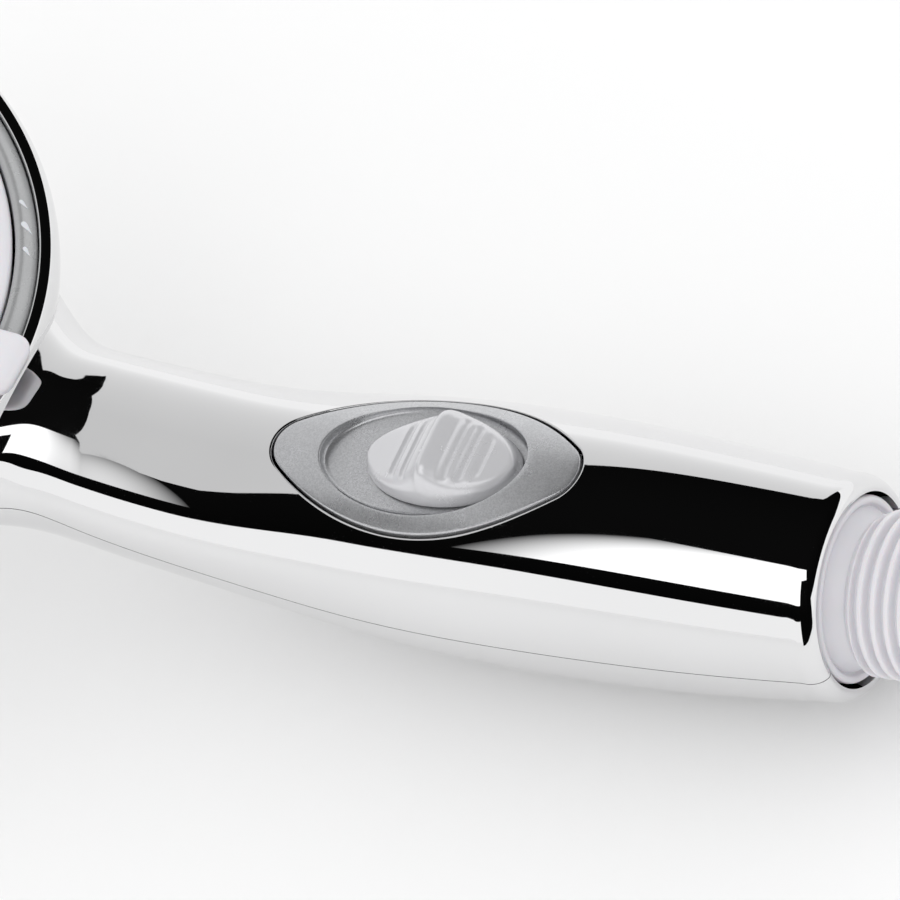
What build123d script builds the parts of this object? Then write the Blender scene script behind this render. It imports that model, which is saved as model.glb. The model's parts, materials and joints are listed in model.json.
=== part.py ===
from build123d import *
import os
from math import cos, pi, sin

os.makedirs("parts", exist_ok=True)

# Handheld shower head. Millimetres.
# The origin is the centre of the hose-washer seat on the end of the inlet nipple.
# +X runs along the handle towards the hose, +Z towards the slide switch and the spray.

# ---- Driving dimensions --------------------------------------------------------
WALL = 2.2                    # chromed plastic shells
SEAM_GAP = 0.1                # open line between the two shells
EDGE_GAP = 0.35               # gap round the switch trim

# Handle: (x, height of the centreline, half width, half height)
HANDLE = [
    (-13.3, 0.0, 14.1, 14.1),
    (-28.5, 0.1, 15.4, 16.2),
    (-53.5, 0.9, 16.7, 18.0),
    (-78.5, 1.7, 16.5, 16.5),
    (-103.5, 3.6, 14.5, 13.7),
    (-122.0, 7.6, 13.7, 13.3),
]
MOUTH_WALL = 1.85             # thinner at the mouth, round the nipple's flange
LIP_START = (-15.6, 14.42)    # rounded lip, as (x, radius)
LIP_END = (-13.2, 12.6)

# Head: its face is tilted 30 degrees towards the hose end
HEAD_CENTRE = (-172.2, 0.0, 47.3)     # on the head's axis, in the plane of the mode ring
HEAD_NORMAL = (0.5, 0.0, 0.75 ** 0.5)
HEAD_TO_NECK = (0.75 ** 0.5, 0.0, -0.5)
CUP_RADIUS = 46.6
CUP_DEPTH = 26.0
BEZEL_FRONT = 0.8
RING_OUTER = 43.5             # silver mode ring
RING_INNER = 40.4
FACE_RADIUS = 40.0            # white spray face
# Neck, in the head's frame: (distance from the axis, depth, half width, half height)
NECK = [
    (43.5, -12.6, 18.5, 12.2),
    (30.0, -12.9, 28.0, 11.6),
    (14.0, -13.0, 33.0, 10.6),
]

# Hose thread, G1/2
THREAD_RADIUS = 20.955 / 2
THREAD_PITCH = 25.4 / 14
THREAD_DEPTH = 1.162
RIDGE_HEIGHT = THREAD_DEPTH - 0.03   # its crest lies a little under the collar
THREAD_ROOT = THREAD_RADIUS - THREAD_DEPTH
RIDGE_BASE = 0.80             # half width of the ridge at its root
RIDGE_LAND = 0.18             # and at its crest
NIPPLE_LENGTH = 13.5          # flange face to hose-washer seat
COLLAR_LENGTH = 2.2
FLANGE_RADIUS = 11.78
FLANGE_THICKNESS = 3.0
TAIL_END = -34.0
TAIL_RADIUS = 7.4

# Slide switch
SWITCH_X = -70.55             # middle of the trim plate
TRIM_HALF_LENGTH = 23.4
TRIM_HALF_WIDTH = 10.4
TRIM_SIDE_RADIUS = 37.5
TRIM_TIP_RADIUS = 4.4
RECESS_HALF_LENGTH = 15.8
RECESS_HALF_WIDTH = 8.3
RECESS_FLOOR = 15.9
PAN_WALL = 1.4                # wall and floor of the trim under the recess
KNOB_X = -67.9                # knob at rest, at the hose end of its recess
KNOB_HALF_LENGTH = 11.5
KNOB_HALF_WIDTH = 6.6
TRAVEL = 6.0
CLEAR = 0.3                   # between pieces that move past each other
POST_LENGTH = 6.0
POST_WIDTH = 4.0
CARRIAGE_BOTTOM = 11.3
CARRIAGE_TOP = 12.7

TRIM_SCREW = 20.2             # from the middle of the trim
TRIM_SCREW_RADIUS = 1.0
TRIM_SCREW_TIPS = {-1: 15.9, 1: 17.9}
TRIM_SCREW_SEATS = {-1: 12.3, 1: 14.5}    # under the ledge
RIB_PLACES = (-39.0, -86.0)   # hose-side faces of the ribs
RIB_THICKNESS = 2.0

KNOB_BOTTOM = RECESS_FLOOR + CLEAR
POST_TOP = 18.0
RIDGE_LEFT = (KNOB_X - 0.2, 21.9)
RIDGE_TOP = (KNOB_X + 0.7, 22.35)
RIDGE_RIGHT = (KNOB_X + 1.6, 21.9)
GROOVES = [(-5.3, 18.7), (-3.1, 19.7), (3.3, 20.8), (5.2, 19.9), (7.1, 19.25)]   # place, height
GROOVE_RADIUS = 1.0
GROOVE_DEPTH = 0.35
DETENT = 8.0                  # from the middle of the knob
DETENT_BORE = 1.2
DETENT_DEPTH = 2.2
BALL_RADIUS = 0.9
SPRING_WIRE = 0.12
ARM_END = -43.8
ARM_THICKNESS = 2.4

# Valve: lower water passage and upper spool bore
PASSAGE_Z = -3.5
PASSAGE_BORE = 4.4
PASSAGE_WALL = 6.0
SPOOL_Z = 5.5
SPOOL_BORE = 3.8
SPOOL_WALL = 5.4
SOCKET_MOUTH = -20.0
SOCKET_END = -37.0
SOCKET_WALL = 9.6
DAM = -72.0                   # middle of the wall across the passage
VALVE_END = -90.0
PLUG_GROOVE = -87.0
PLUG_END = -84.0
GROOVE_FLOOR = 2.0
BORE_END = -53.0
PORT_IN = -65.0
PORT_OUT = -79.0
PORT_WIDTH = 2.4

SPOOL_RADIUS = SPOOL_BORE - 0.06
STEM_RADIUS = 1.8
LAND_LENGTH = 3.0
OPEN_LAND = -61.9             # land that shuts the ports, at rest
STEM_LAND = -55.9             # land that seals the stem, at rest
TUBE_RADIUS = 4.3             # neck tube
TUBE_BORE = 2.6

TUBE_REACH = 8.0              # how far it enters the valve and the manifold
TAIL_GROOVE = -27.5
INLET_BORE = 4.6
INLET_MOUTH = 7.0
REGULATOR_SEAT = -7.0
STRAINER_HOLES = [(1.6, 5), (3.4, 11), (5.2, 17)]   # ring radius, holes

# Spray head stack, as heights over the ring plane
SHELF = -3.2
DUCT_DEPTH = -14.0
POST_FRONT = -11.4
SCREW_CIRCLE = 31.0
SCREW_ANGLES = (60, 120, 240, 300)
HEAD_SCREW_RADIUS = 1.2
SCREW_BITE = 5.0
MANIFOLD_BACK = -9.6
MANIFOLD_FRONT = -6.6
AXLE_RADIUS = 3.0             # manifold post that the spray head turns on
AXLE_TOP = -1.5
ROTOR_BACK = -5.6
ROTOR_FRONT = -4.2
ROTOR_RADIUS = 36.4           # inside of the selector ring
HUB_RADIUS = 5.0
HUB_TOP = -1.7
MAT_BACK = -1.3
MAT_FRONT = -0.1
CAP_RADIUS = 8.0
DOME = 2.5                    # height of the spray face at its middle
LEVER_HALF_WIDTH = 5.0
LEVER_END = 47.3
DUCT_MOUTH = 38.0             # distance from the head's axis
DUCT_END = 5.0
MANIFOLD_RADIUS = 38.0
PORT_PLACE = 14.0
PORT_RADIUS = 3.0
MODE_STEP = 30.0
CENTRE_SCREW_RADIUS = 1.2
CENTRE_SCREW_LENGTH = 10.0
SKIRT_RADIUS = 42.2
TURBINE_BLADES = 8
TURBINE_HEIGHT = 1.8
LEVER_BOTTOM = 1.9
MARK_ANGLES = (24.9, 30.3, 35.1)
MARK_RADIUS = 42.2
MARK_FLOOR = -0.6
MARK_TOP = 1.0
NOZZLE_BASE = 1.15
NOZZLE_TIP = 0.8
NOZZLE_BORE = 0.4
NOZZLE_PROUD = 0.7
NOZZLE_RINGS = [(13.0, 8), (20.0, 14), (27.5, 20), (34.5, 26)]   # ring radius, nozzles

# ---- Frames ----------------------------------------------------------------------
head_face = Plane(origin=HEAD_CENTRE, x_dir=HEAD_TO_NECK, z_dir=HEAD_NORMAL)
head_section = Plane(origin=HEAD_CENTRE, x_dir=HEAD_TO_NECK, z_dir=(0, -1, 0))
head_axis = Axis(HEAD_CENTRE, HEAD_NORMAL)
spool_section = Plane(origin=(0, 0, SPOOL_Z), x_dir=(1, 0, 0), z_dir=(0, -1, 0))
spool_axis = Axis((0, 0, SPOOL_Z), (1, 0, 0))


passage_section = Plane(origin=(0, 0, PASSAGE_Z), x_dir=(1, 0, 0), z_dir=(0, -1, 0))
passage_axis = Axis((0, 0, PASSAGE_Z), (1, 0, 0))


def head_point(u, depth):
    """A point on the middle plane, given in the head's own frame."""
    return head_section.from_local_coords((u, depth, 0))


def side_point(u, depth):
    """The same point as (x, z), for sketches seen from the side."""
    point = head_point(u, depth)
    return (point.X, point.Z)


duct_section = Plane(
    origin=head_point(0, DUCT_DEPTH), x_dir=HEAD_TO_NECK, z_dir=(0, -1, 0)
)
duct_axis = Axis(head_point(0, DUCT_DEPTH), HEAD_TO_NECK)


def face_height(radius):
    """Height of the slightly domed spray face over the ring plane."""
    return DOME - (DOME - 0.9) * (radius / ROTOR_RADIUS) ** 2


def groove_profile(x, floor, top):
    """Section of a seal groove, from its floor to just over the surface."""
    return [(x - 0.7, floor), (x - 0.7, top + 0.3), (x + 0.7, top + 0.3), (x + 0.7, floor)]


def outline(plane, points):
    """A closed polygon on a plane, for turned and extruded pieces."""
    with BuildSketch(plane) as sketch:
        with BuildLine():
            Polyline(*points, close=True)
        make_face()
    return sketch.sketch


def oval(plane, half_width, half_height, points=12):
    """A closed ellipse-like face whose seam always starts on the plane's x axis."""
    with BuildSketch(plane) as sketch:
        with BuildLine():
            angles = [2 * pi * i / points for i in range(points)]
            Spline(
                *[(half_width * cos(a), half_height * sin(a)) for a in angles],
                periodic=True,
            )
        make_face()
    return sketch.sketch


def drop_outline(angle):
    """A water drop on the mode ring, its point towards the outside."""
    turn = angle * pi / 180
    out = Vector(cos(turn), sin(turn), 0)
    across = Vector(-sin(turn), cos(turn), 0)
    centre = out * MARK_RADIUS
    with BuildSketch(head_face.offset(MARK_FLOOR)) as sketch:
        with BuildLine():
            ThreePointArc(
                centre + across * 0.55, centre - out * 0.55, centre - across * 0.55
            )
            Line(centre - across * 0.55, centre + out * 1.2)
            Line(centre + out * 1.2, centre + across * 0.55)
        make_face()
    return sketch.sketch


def along_x(x):
    """A plane across the handle at x, facing the hose end."""
    return Plane(origin=(x, 0, 0), x_dir=(0, 1, 0), z_dir=(1, 0, 0))


# ---- The body that both shells are cut from ----------------------------------------
def stem_sections(inset):
    """Oval sections along the handle and neck, drawn in by the inset."""
    sections = []
    for x, height, half_width, half_height in HANDLE:
        across = Plane(origin=(x, 0, height), x_dir=(0, 1, 0), z_dir=(1, 0, 0))
        wall = min(inset, MOUTH_WALL) if x == HANDLE[0][0] else inset
        sections.append(oval(across, half_width - wall, half_height - wall))
    for u, depth, half_width, half_height in NECK:
        across = Plane(origin=head_point(u, depth), x_dir=(0, 1, 0), z_dir=HEAD_TO_NECK)
        sections.append(oval(across, half_width - inset, half_height - inset))
    return sections


def cup_profile(inset):
    """Half section of the cup behind the spray face, drawn in by the inset."""
    with BuildSketch(head_section) as sketch:
        with BuildLine():
            back = Spline(
                (0, -CUP_DEPTH + inset),
                (26, -CUP_DEPTH + 4.3 + inset),
                (40, -CUP_DEPTH + 12.8 + inset * 0.7),
                (CUP_RADIUS - inset, -5.0),
                tangents=[(1, 0), (0, 1)],
            )
            side = Spline(
                back @ 1,
                (CUP_RADIUS - 0.9 - inset, BEZEL_FRONT - 0.6),
                (CUP_RADIUS - 1.5 - inset, BEZEL_FRONT),
                tangents=[(0, 1), (-1, 0)],
            )
            Line(side @ 1, (0, BEZEL_FRONT))
            Line((0, BEZEL_FRONT), back @ 0)
        make_face()
    return sketch.sketch


def body_solid(inset):
    """Handle, neck and cup as one solid, drawn in by the inset."""
    with BuildPart() as body:
        loft(sections=stem_sections(inset))
        revolve(cup_profile(inset), axis=head_axis)
    return body.part


def almond(gap):
    """Outline of the switch trim seen from above, grown by the gap."""
    with BuildSketch(Plane.XY) as sketch:
        centre_drop = TRIM_HALF_WIDTH - TRIM_SIDE_RADIUS
        tip_x = TRIM_HALF_LENGTH - TRIM_TIP_RADIUS
        reach = (tip_x ** 2 + centre_drop ** 2) ** 0.5
        touch_x = TRIM_SIDE_RADIUS * tip_x / reach
        touch_y = centre_drop - TRIM_SIDE_RADIUS * centre_drop / reach
        with BuildLine(Plane(origin=(SWITCH_X, 0, 0))):
            ThreePointArc((-touch_x, touch_y), (0, TRIM_HALF_WIDTH), (touch_x, touch_y))
            ThreePointArc((touch_x, touch_y), (TRIM_HALF_LENGTH, 0), (touch_x, -touch_y))
            ThreePointArc((touch_x, -touch_y), (0, -TRIM_HALF_WIDTH), (-touch_x, -touch_y))
            ThreePointArc((-touch_x, -touch_y), (-TRIM_HALF_LENGTH, 0), (-touch_x, touch_y))
        make_face()
        if gap:
            offset(amount=gap)
    return sketch.sketch


def parting_profile(shift):
    """Everything on the switch side of the parting line, seen from the side."""
    with BuildSketch(Plane.XZ) as sketch:
        with BuildLine():
            line = Spline(
                (5, shift),
                (-28.5, 0.1 + shift),
                (-53.5, 0.9 + shift),
                (-78.5, 1.7 + shift),
                (-103.5, 3.6 + shift),
                (-118.0, 7.0 + shift),
                side_point(40, -11.0 + shift),
                tangents=[(-1, 0), (-HEAD_TO_NECK[0], -HEAD_TO_NECK[2])],
            )
            far = side_point(-60, -11.0 + shift)
            Line(line @ 1, far)
            Line(far, (far[0], 100))
            Line((far[0], 100), (5, 100))
            Line((5, 100), line @ 0)
        make_face()
    return sketch.sketch


outer_body = body_solid(0)
inner_body = body_solid(WALL)
bed_body = body_solid(WALL + 1.5)


# ---- Chromed shells ----------------------------------------------------------------
def valve_outline(x, thickness, gap):
    """The valve body's two tubes as a slab across the handle, grown by the gap."""
    with BuildPart() as slab:
        with BuildSketch(along_x(x)):
            with Locations((0, PASSAGE_Z)):
                Circle(PASSAGE_WALL + gap)
            with Locations((0, SPOOL_Z)):
                Circle(SPOOL_WALL + gap)
        extrude(amount=-thickness)
    return slab.part


def post_places():
    """Places of the four head screws, in the plane of the spray face."""
    return [
        (SCREW_CIRCLE * cos(a * pi / 180), SCREW_CIRCLE * sin(a * pi / 180))
        for a in SCREW_ANGLES
    ]


with BuildPart() as ledge:
    # Seat under the tips of the switch trim
    add(inner_body)
    add(bed_body, mode=Mode.SUBTRACT)
    extrude(almond(2.0), amount=40, mode=Mode.INTERSECT)
    with BuildSketch(Plane(origin=(SWITCH_X, 0, 0))):
        Ellipse(RECESS_HALF_LENGTH + PAN_WALL + CLEAR, RECESS_HALF_WIDTH + PAN_WALL + CLEAR)
    extrude(amount=40, mode=Mode.SUBTRACT)
    with BuildSketch(Plane(origin=(SWITCH_X, 0, 0))):
        with Locations((TRIM_SCREW, 0), (-TRIM_SCREW, 0)):
            Circle(1.2)
    extrude(amount=40, mode=Mode.SUBTRACT)

with BuildPart() as ribs:
    # Two ribs grip the valve body
    for x in RIB_PLACES:
        with BuildSketch(along_x(x)):
            Circle(30)
        extrude(amount=-RIB_THICKNESS)
    add(inner_body, mode=Mode.INTERSECT)
    for x in RIB_PLACES:
        add(valve_outline(x + 1, RIB_THICKNESS + 2, 0.1), mode=Mode.SUBTRACT)
    # Open above the valve, so that the carriage passes
    with Locations((0, 0, 20)):
        Box(400, 22, 20, mode=Mode.SUBTRACT)

with BuildPart() as posts:
    # Four posts behind the manifold
    with BuildSketch(head_face.offset(POST_FRONT)):
        with Locations(*post_places()):
            Circle(3.0)
    extrude(amount=-20)
    add(outer_body, mode=Mode.INTERSECT)
    with BuildSketch(head_face.offset(POST_FRONT)):
        with Locations(*post_places()):
            Circle(HEAD_SCREW_RADIUS)
    extrude(amount=-SCREW_BITE, mode=Mode.SUBTRACT)

with BuildPart() as hollow_body:
    add(outer_body)
    add(inner_body, mode=Mode.SUBTRACT)
    # Rounded lip of the mouth
    with BuildSketch(Plane.XZ):
        with BuildLine():
            lip = Spline(LIP_START, LIP_END, tangents=[(1, -0.12), (-0.15, -1)])
            Polyline(lip @ 1, (-12.0, 12.6), (-12.0, 17.0), (-15.6, 17.0), lip @ 0)
        make_face()
    revolve(axis=Axis.X, mode=Mode.SUBTRACT)
    # Opening and shelf that take the mode ring
    with BuildSketch(head_face.offset(SHELF)):
        Circle(RING_OUTER + 0.15)
    extrude(amount=8, mode=Mode.SUBTRACT)
    # Opening for the switch trim
    extrude(almond(EDGE_GAP), amount=40, mode=Mode.SUBTRACT)
    add(ledge.part)
    add(ribs.part)
    add(posts.part)

with BuildPart() as front_shell:
    add(hollow_body.part)
    extrude(parting_profile(SEAM_GAP / 2), amount=60, both=True, mode=Mode.INTERSECT)
front_shell.part.label = "front_shell"
export_step(front_shell.part, "parts/front_shell.step")

with BuildPart() as back_shell:
    add(hollow_body.part)
    extrude(parting_profile(-SEAM_GAP / 2), amount=60, both=True, mode=Mode.SUBTRACT)
back_shell.part.label = "back_shell"
export_step(back_shell.part, "parts/back_shell.step")


# ---- Switch trim and knob ----------------------------------------------------------
with BuildPart() as pan:
    # Wall and floor under the recess of the trim
    with BuildSketch(Plane(origin=(SWITCH_X, 0, RECESS_FLOOR - PAN_WALL))):
        Ellipse(RECESS_HALF_LENGTH + PAN_WALL, RECESS_HALF_WIDTH + PAN_WALL)
    extrude(amount=10)
    add(outer_body, mode=Mode.INTERSECT)

with BuildPart() as switch_trim:
    # Skin that continues the handle's surface
    add(outer_body)
    add(inner_body, mode=Mode.SUBTRACT)
    extrude(almond(0), amount=40, mode=Mode.INTERSECT)
    add(pan.part)
    with BuildSketch(Plane(origin=(SWITCH_X, 0, RECESS_FLOOR))):
        Ellipse(RECESS_HALF_LENGTH, RECESS_HALF_WIDTH)
    extrude(amount=10, mode=Mode.SUBTRACT)
    # Slot for the carriage's post, over its whole travel
    with BuildSketch(Plane(origin=(KNOB_X - TRAVEL / 2, 0, 0))):
        Rectangle(POST_LENGTH + TRAVEL + 2 * CLEAR, POST_WIDTH + 2 * CLEAR)
    extrude(amount=40, mode=Mode.SUBTRACT)
    # Blind holes for the two trim screws
    for side in (-1, 1):
        with BuildSketch(Plane(origin=(SWITCH_X + side * TRIM_SCREW, 0, 0))):
            Circle(TRIM_SCREW_RADIUS)
        extrude(amount=TRIM_SCREW_TIPS[side], mode=Mode.SUBTRACT)
switch_trim.part.label = "switch_trim"
export_step(switch_trim.part, "parts/switch_trim.step")

with BuildPart() as slide_knob:
    # Ridge and slopes, as one profile run across the handle
    with BuildSketch(Plane.XZ.offset(-10)):
        with BuildLine():
            left = Spline(
                (KNOB_X - 12, 17.9), (KNOB_X - 7, 18.2), (KNOB_X - 3.4, 19.5), RIDGE_LEFT,
                tangents=[(1, 0), (0.55, 1)],
            )
            top = ThreePointArc(RIDGE_LEFT, RIDGE_TOP, RIDGE_RIGHT)
            right = Spline(
                RIDGE_RIGHT, (KNOB_X + 6.5, 19.4), (KNOB_X + 12, 18.2),
                tangents=[(1, -0.75), (1, -0.15)],
            )
            Polyline(right @ 1, (KNOB_X + 12, KNOB_BOTTOM), (KNOB_X - 12, KNOB_BOTTOM), left @ 0)
        make_face()
    extrude(amount=20)
    # Rounded grooves across both slopes
    for place, height in GROOVES:
        with BuildSketch(Plane.XZ.offset(-10)):
            with Locations((KNOB_X + place, height + GROOVE_RADIUS - GROOVE_DEPTH)):
                Circle(GROOVE_RADIUS)
        extrude(amount=20, mode=Mode.SUBTRACT)
    # Oval plan with sides that lean in a little
    with BuildSketch(Plane(origin=(KNOB_X, 0, KNOB_BOTTOM))):
        Ellipse(KNOB_HALF_LENGTH, KNOB_HALF_WIDTH)
    extrude(amount=8, taper=6, mode=Mode.INTERSECT)
    # Pocket for the post, and the detent's blind hole
    with BuildSketch(Plane(origin=(KNOB_X, 0, KNOB_BOTTOM))):
        Rectangle(POST_LENGTH, POST_WIDTH)
    extrude(amount=POST_TOP - KNOB_BOTTOM, mode=Mode.SUBTRACT)
    with BuildSketch(Plane(origin=(KNOB_X + DETENT, 0, KNOB_BOTTOM))):
        Circle(DETENT_BORE)
    extrude(amount=DETENT_DEPTH, mode=Mode.SUBTRACT)
slide_knob.part.label = "slide_knob"
export_step(slide_knob.part, "parts/slide_knob.step")

with BuildPart() as detent_ball:
    with Locations((KNOB_X + DETENT, 0, RECESS_FLOOR + 0.05 + BALL_RADIUS)):
        Sphere(BALL_RADIUS)
detent_ball.part.label = "detent_ball"
export_step(detent_ball.part, "parts/detent_ball.step")

with BuildPart() as detent_spring:
    start = RECESS_FLOOR + 0.1 + 2 * BALL_RADIUS
    coil_height = KNOB_BOTTOM + DETENT_DEPTH - 0.1 - start - 2 * SPRING_WIRE
    with BuildLine() as coil:
        Helix(
            pitch=coil_height / 3,
            height=coil_height,
            radius=BALL_RADIUS - 0.2,
            center=(KNOB_X + DETENT, 0, start + SPRING_WIRE),
        )
    with BuildSketch(Plane(origin=coil.line @ 0, z_dir=coil.line % 0)):
        Circle(SPRING_WIRE)
    sweep(path=coil.line, is_frenet=True)
detent_spring.part.label = "detent_spring"
export_step(detent_spring.part, "parts/detent_spring.step")

with BuildPart() as carriage:
    # Plate under the trim
    with BuildSketch(Plane.XY.offset(CARRIAGE_BOTTOM)):
        with BuildLine():
            Polyline(
                (KNOB_X - 7, -4), (KNOB_X - 7, 4), (ARM_END, 4), (ARM_END, -4), close=True,
            )
        make_face()
    extrude(amount=CARRIAGE_TOP - CARRIAGE_BOTTOM)
    # Post up into the knob
    with BuildSketch(Plane(origin=(KNOB_X, 0, CARRIAGE_BOTTOM))):
        Rectangle(POST_LENGTH, POST_WIDTH)
    extrude(amount=POST_TOP - CARRIAGE_BOTTOM)
    # Arm down to the spool's stem
    with BuildSketch(along_x(ARM_END)):
        with BuildLine():
            Polyline(
                (-4, CARRIAGE_TOP), (4, CARRIAGE_TOP), (3.2, SPOOL_Z), (3.2, SPOOL_Z - 3),
                (-3.2, SPOOL_Z - 3), (-3.2, SPOOL_Z), close=True,
            )
        make_face()
    extrude(amount=-ARM_THICKNESS)
    with BuildSketch(along_x(0)):
        with Locations((0, SPOOL_Z)):
            Circle(STEM_RADIUS - 0.5)
    extrude(amount=-100, mode=Mode.SUBTRACT)
carriage.part.label = "carriage"
export_step(carriage.part, "parts/carriage.step")

with BuildPart() as trim_screws:
    for side in (-1, 1):
        seat = TRIM_SCREW_SEATS[side]
        with BuildSketch(Plane(origin=(SWITCH_X + side * TRIM_SCREW, 0, seat))):
            Circle(TRIM_SCREW_RADIUS)
        extrude(amount=TRIM_SCREW_TIPS[side] - seat)
        with BuildSketch(Plane(origin=(SWITCH_X + side * TRIM_SCREW, 0, seat))):
            Circle(1.8)
        extrude(amount=-1.2)
        with BuildSketch(Plane(origin=(SWITCH_X + side * TRIM_SCREW, 0, seat - 1.2))):
            Rectangle(2.6, 0.5)
            Rectangle(0.5, 2.6)
        extrude(amount=0.6, mode=Mode.SUBTRACT)
trim_screws.part.label = "trim_screws"
export_step(trim_screws.part, "parts/trim_screws.step")


# ---- Valve -------------------------------------------------------------------------
def ring_profile(plane, x, major, minor):
    """Round section of an O-ring lying across the plane's x axis."""
    with BuildSketch(plane) as sketch:
        with Locations((x, major)):
            Circle(minor)
    return sketch.sketch


with BuildPart() as valve_body:
    # Socket for the nipple's tail, on the handle's axis
    with BuildSketch(along_x(SOCKET_MOUTH)):
        Circle(SOCKET_WALL)
    extrude(amount=SOCKET_END - SOCKET_MOUTH)
    # Lower water tube, and the spool tube over it
    with BuildSketch(along_x(SOCKET_END)):
        with Locations((0, PASSAGE_Z)):
            Circle(PASSAGE_WALL)
    extrude(amount=VALVE_END - SOCKET_END)
    with BuildSketch(along_x(BORE_END)):
        with Locations((0, SPOOL_Z)):
            Circle(SPOOL_WALL)
    extrude(amount=VALVE_END - BORE_END)
    # Bores
    with BuildSketch(along_x(SOCKET_MOUTH)):
        Circle(TAIL_RADIUS + 0.05)
    extrude(amount=TAIL_END - SOCKET_MOUTH, mode=Mode.SUBTRACT)
    for start, end in ((TAIL_END + 1, DAM + 2), (DAM - 2, VALVE_END)):
        with BuildSketch(along_x(start)):
            with Locations((0, PASSAGE_Z)):
                Circle(PASSAGE_BORE)
        extrude(amount=end - start, mode=Mode.SUBTRACT)
    with BuildSketch(along_x(BORE_END)):
        with Locations((0, SPOOL_Z)):
            Circle(SPOOL_BORE)
    extrude(amount=VALVE_END - BORE_END, mode=Mode.SUBTRACT)
    # Slots that join the passage and the bore on both sides of the dam
    for port in (PORT_IN, PORT_OUT):
        with BuildSketch(Plane(origin=(port, 0, PASSAGE_Z))):
            Rectangle(PORT_WIDTH, 5)
        extrude(amount=SPOOL_Z - PASSAGE_Z, mode=Mode.SUBTRACT)
valve_body.part.label = "valve_body"
export_step(valve_body.part, "parts/valve_body.step")

with BuildPart() as valve_spool:
    half = LAND_LENGTH / 2
    nose = OPEN_LAND - half
    revolve(
        outline(
            spool_section,
            [
                (nose, 0), (nose, SPOOL_RADIUS), (OPEN_LAND - 1, SPOOL_RADIUS),
                (OPEN_LAND - 1, GROOVE_FLOOR), (OPEN_LAND + 1, GROOVE_FLOOR),
                (OPEN_LAND + 1, SPOOL_RADIUS), (OPEN_LAND + half, SPOOL_RADIUS),
                (OPEN_LAND + half, STEM_RADIUS), (STEM_LAND - half, STEM_RADIUS),
                (STEM_LAND - half, SPOOL_RADIUS), (STEM_LAND - 1, SPOOL_RADIUS),
                (STEM_LAND - 1, GROOVE_FLOOR), (STEM_LAND + 1, GROOVE_FLOOR),
                (STEM_LAND + 1, SPOOL_RADIUS), (STEM_LAND + half, SPOOL_RADIUS),
                (STEM_LAND + half, STEM_RADIUS), (ARM_END - ARM_THICKNESS, STEM_RADIUS),
                (ARM_END - ARM_THICKNESS, STEM_RADIUS - 0.5), (ARM_END, STEM_RADIUS - 0.5),
                (ARM_END, STEM_RADIUS), (ARM_END + 1.5, STEM_RADIUS - 0.4), (ARM_END + 1.5, 0),
            ],
        ),
        axis=spool_axis,
    )
valve_spool.part.label = "valve_spool"
export_step(valve_spool.part, "parts/valve_spool.step")

with BuildPart() as spool_seals:
    for x in (OPEN_LAND, STEM_LAND):
        revolve(ring_profile(spool_section, x, 2.9, 0.85), axis=spool_axis)
spool_seals.part.label = "spool_seals"
export_step(spool_seals.part, "parts/spool_seals.step")

with BuildPart() as bore_plug:
    revolve(
        outline(
            spool_section,
            [
                (VALVE_END - 1.5, 0), (VALVE_END - 1.5, 4.5), (VALVE_END, 4.5),
                (VALVE_END, SPOOL_BORE), (PLUG_GROOVE - 0.9, SPOOL_BORE),
                (PLUG_GROOVE - 0.9, 2.3), (PLUG_GROOVE + 0.9, 2.3),
                (PLUG_GROOVE + 0.9, SPOOL_BORE), (PLUG_END, SPOOL_BORE), (PLUG_END, 0),
            ],
        ),
        axis=spool_axis,
    )
bore_plug.part.label = "bore_plug"
export_step(bore_plug.part, "parts/bore_plug.step")

with BuildPart() as plug_seal:
    revolve(ring_profile(spool_section, PLUG_GROOVE, 3.08, 0.7), axis=spool_axis)
plug_seal.part.label = "plug_seal"
export_step(plug_seal.part, "parts/plug_seal.step")


# ---- Hose end ------------------------------------------------------------------------
with BuildPart() as thread_ridge:
    # One helical ridge, from inside the collar to past the end of the nipple
    with BuildLine() as ridge:
        Helix(
            pitch=THREAD_PITCH,
            height=NIPPLE_LENGTH + 1,
            radius=THREAD_ROOT,
            center=(-NIPPLE_LENGTH + COLLAR_LENGTH - 0.9, 0, 0),
            direction=(1, 0, 0),
        )
    with BuildSketch(Plane(origin=ridge.line @ 0, x_dir=(1, 0, 0), z_dir=ridge.line % 0)):
        with BuildLine():
            Polyline(
                (-RIDGE_BASE, -0.1), (-RIDGE_LAND, RIDGE_HEIGHT), (RIDGE_LAND, RIDGE_HEIGHT),
                (RIDGE_BASE, -0.1), close=True,
            )
        make_face()
    sweep(path=ridge.line, is_frenet=True)

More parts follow.
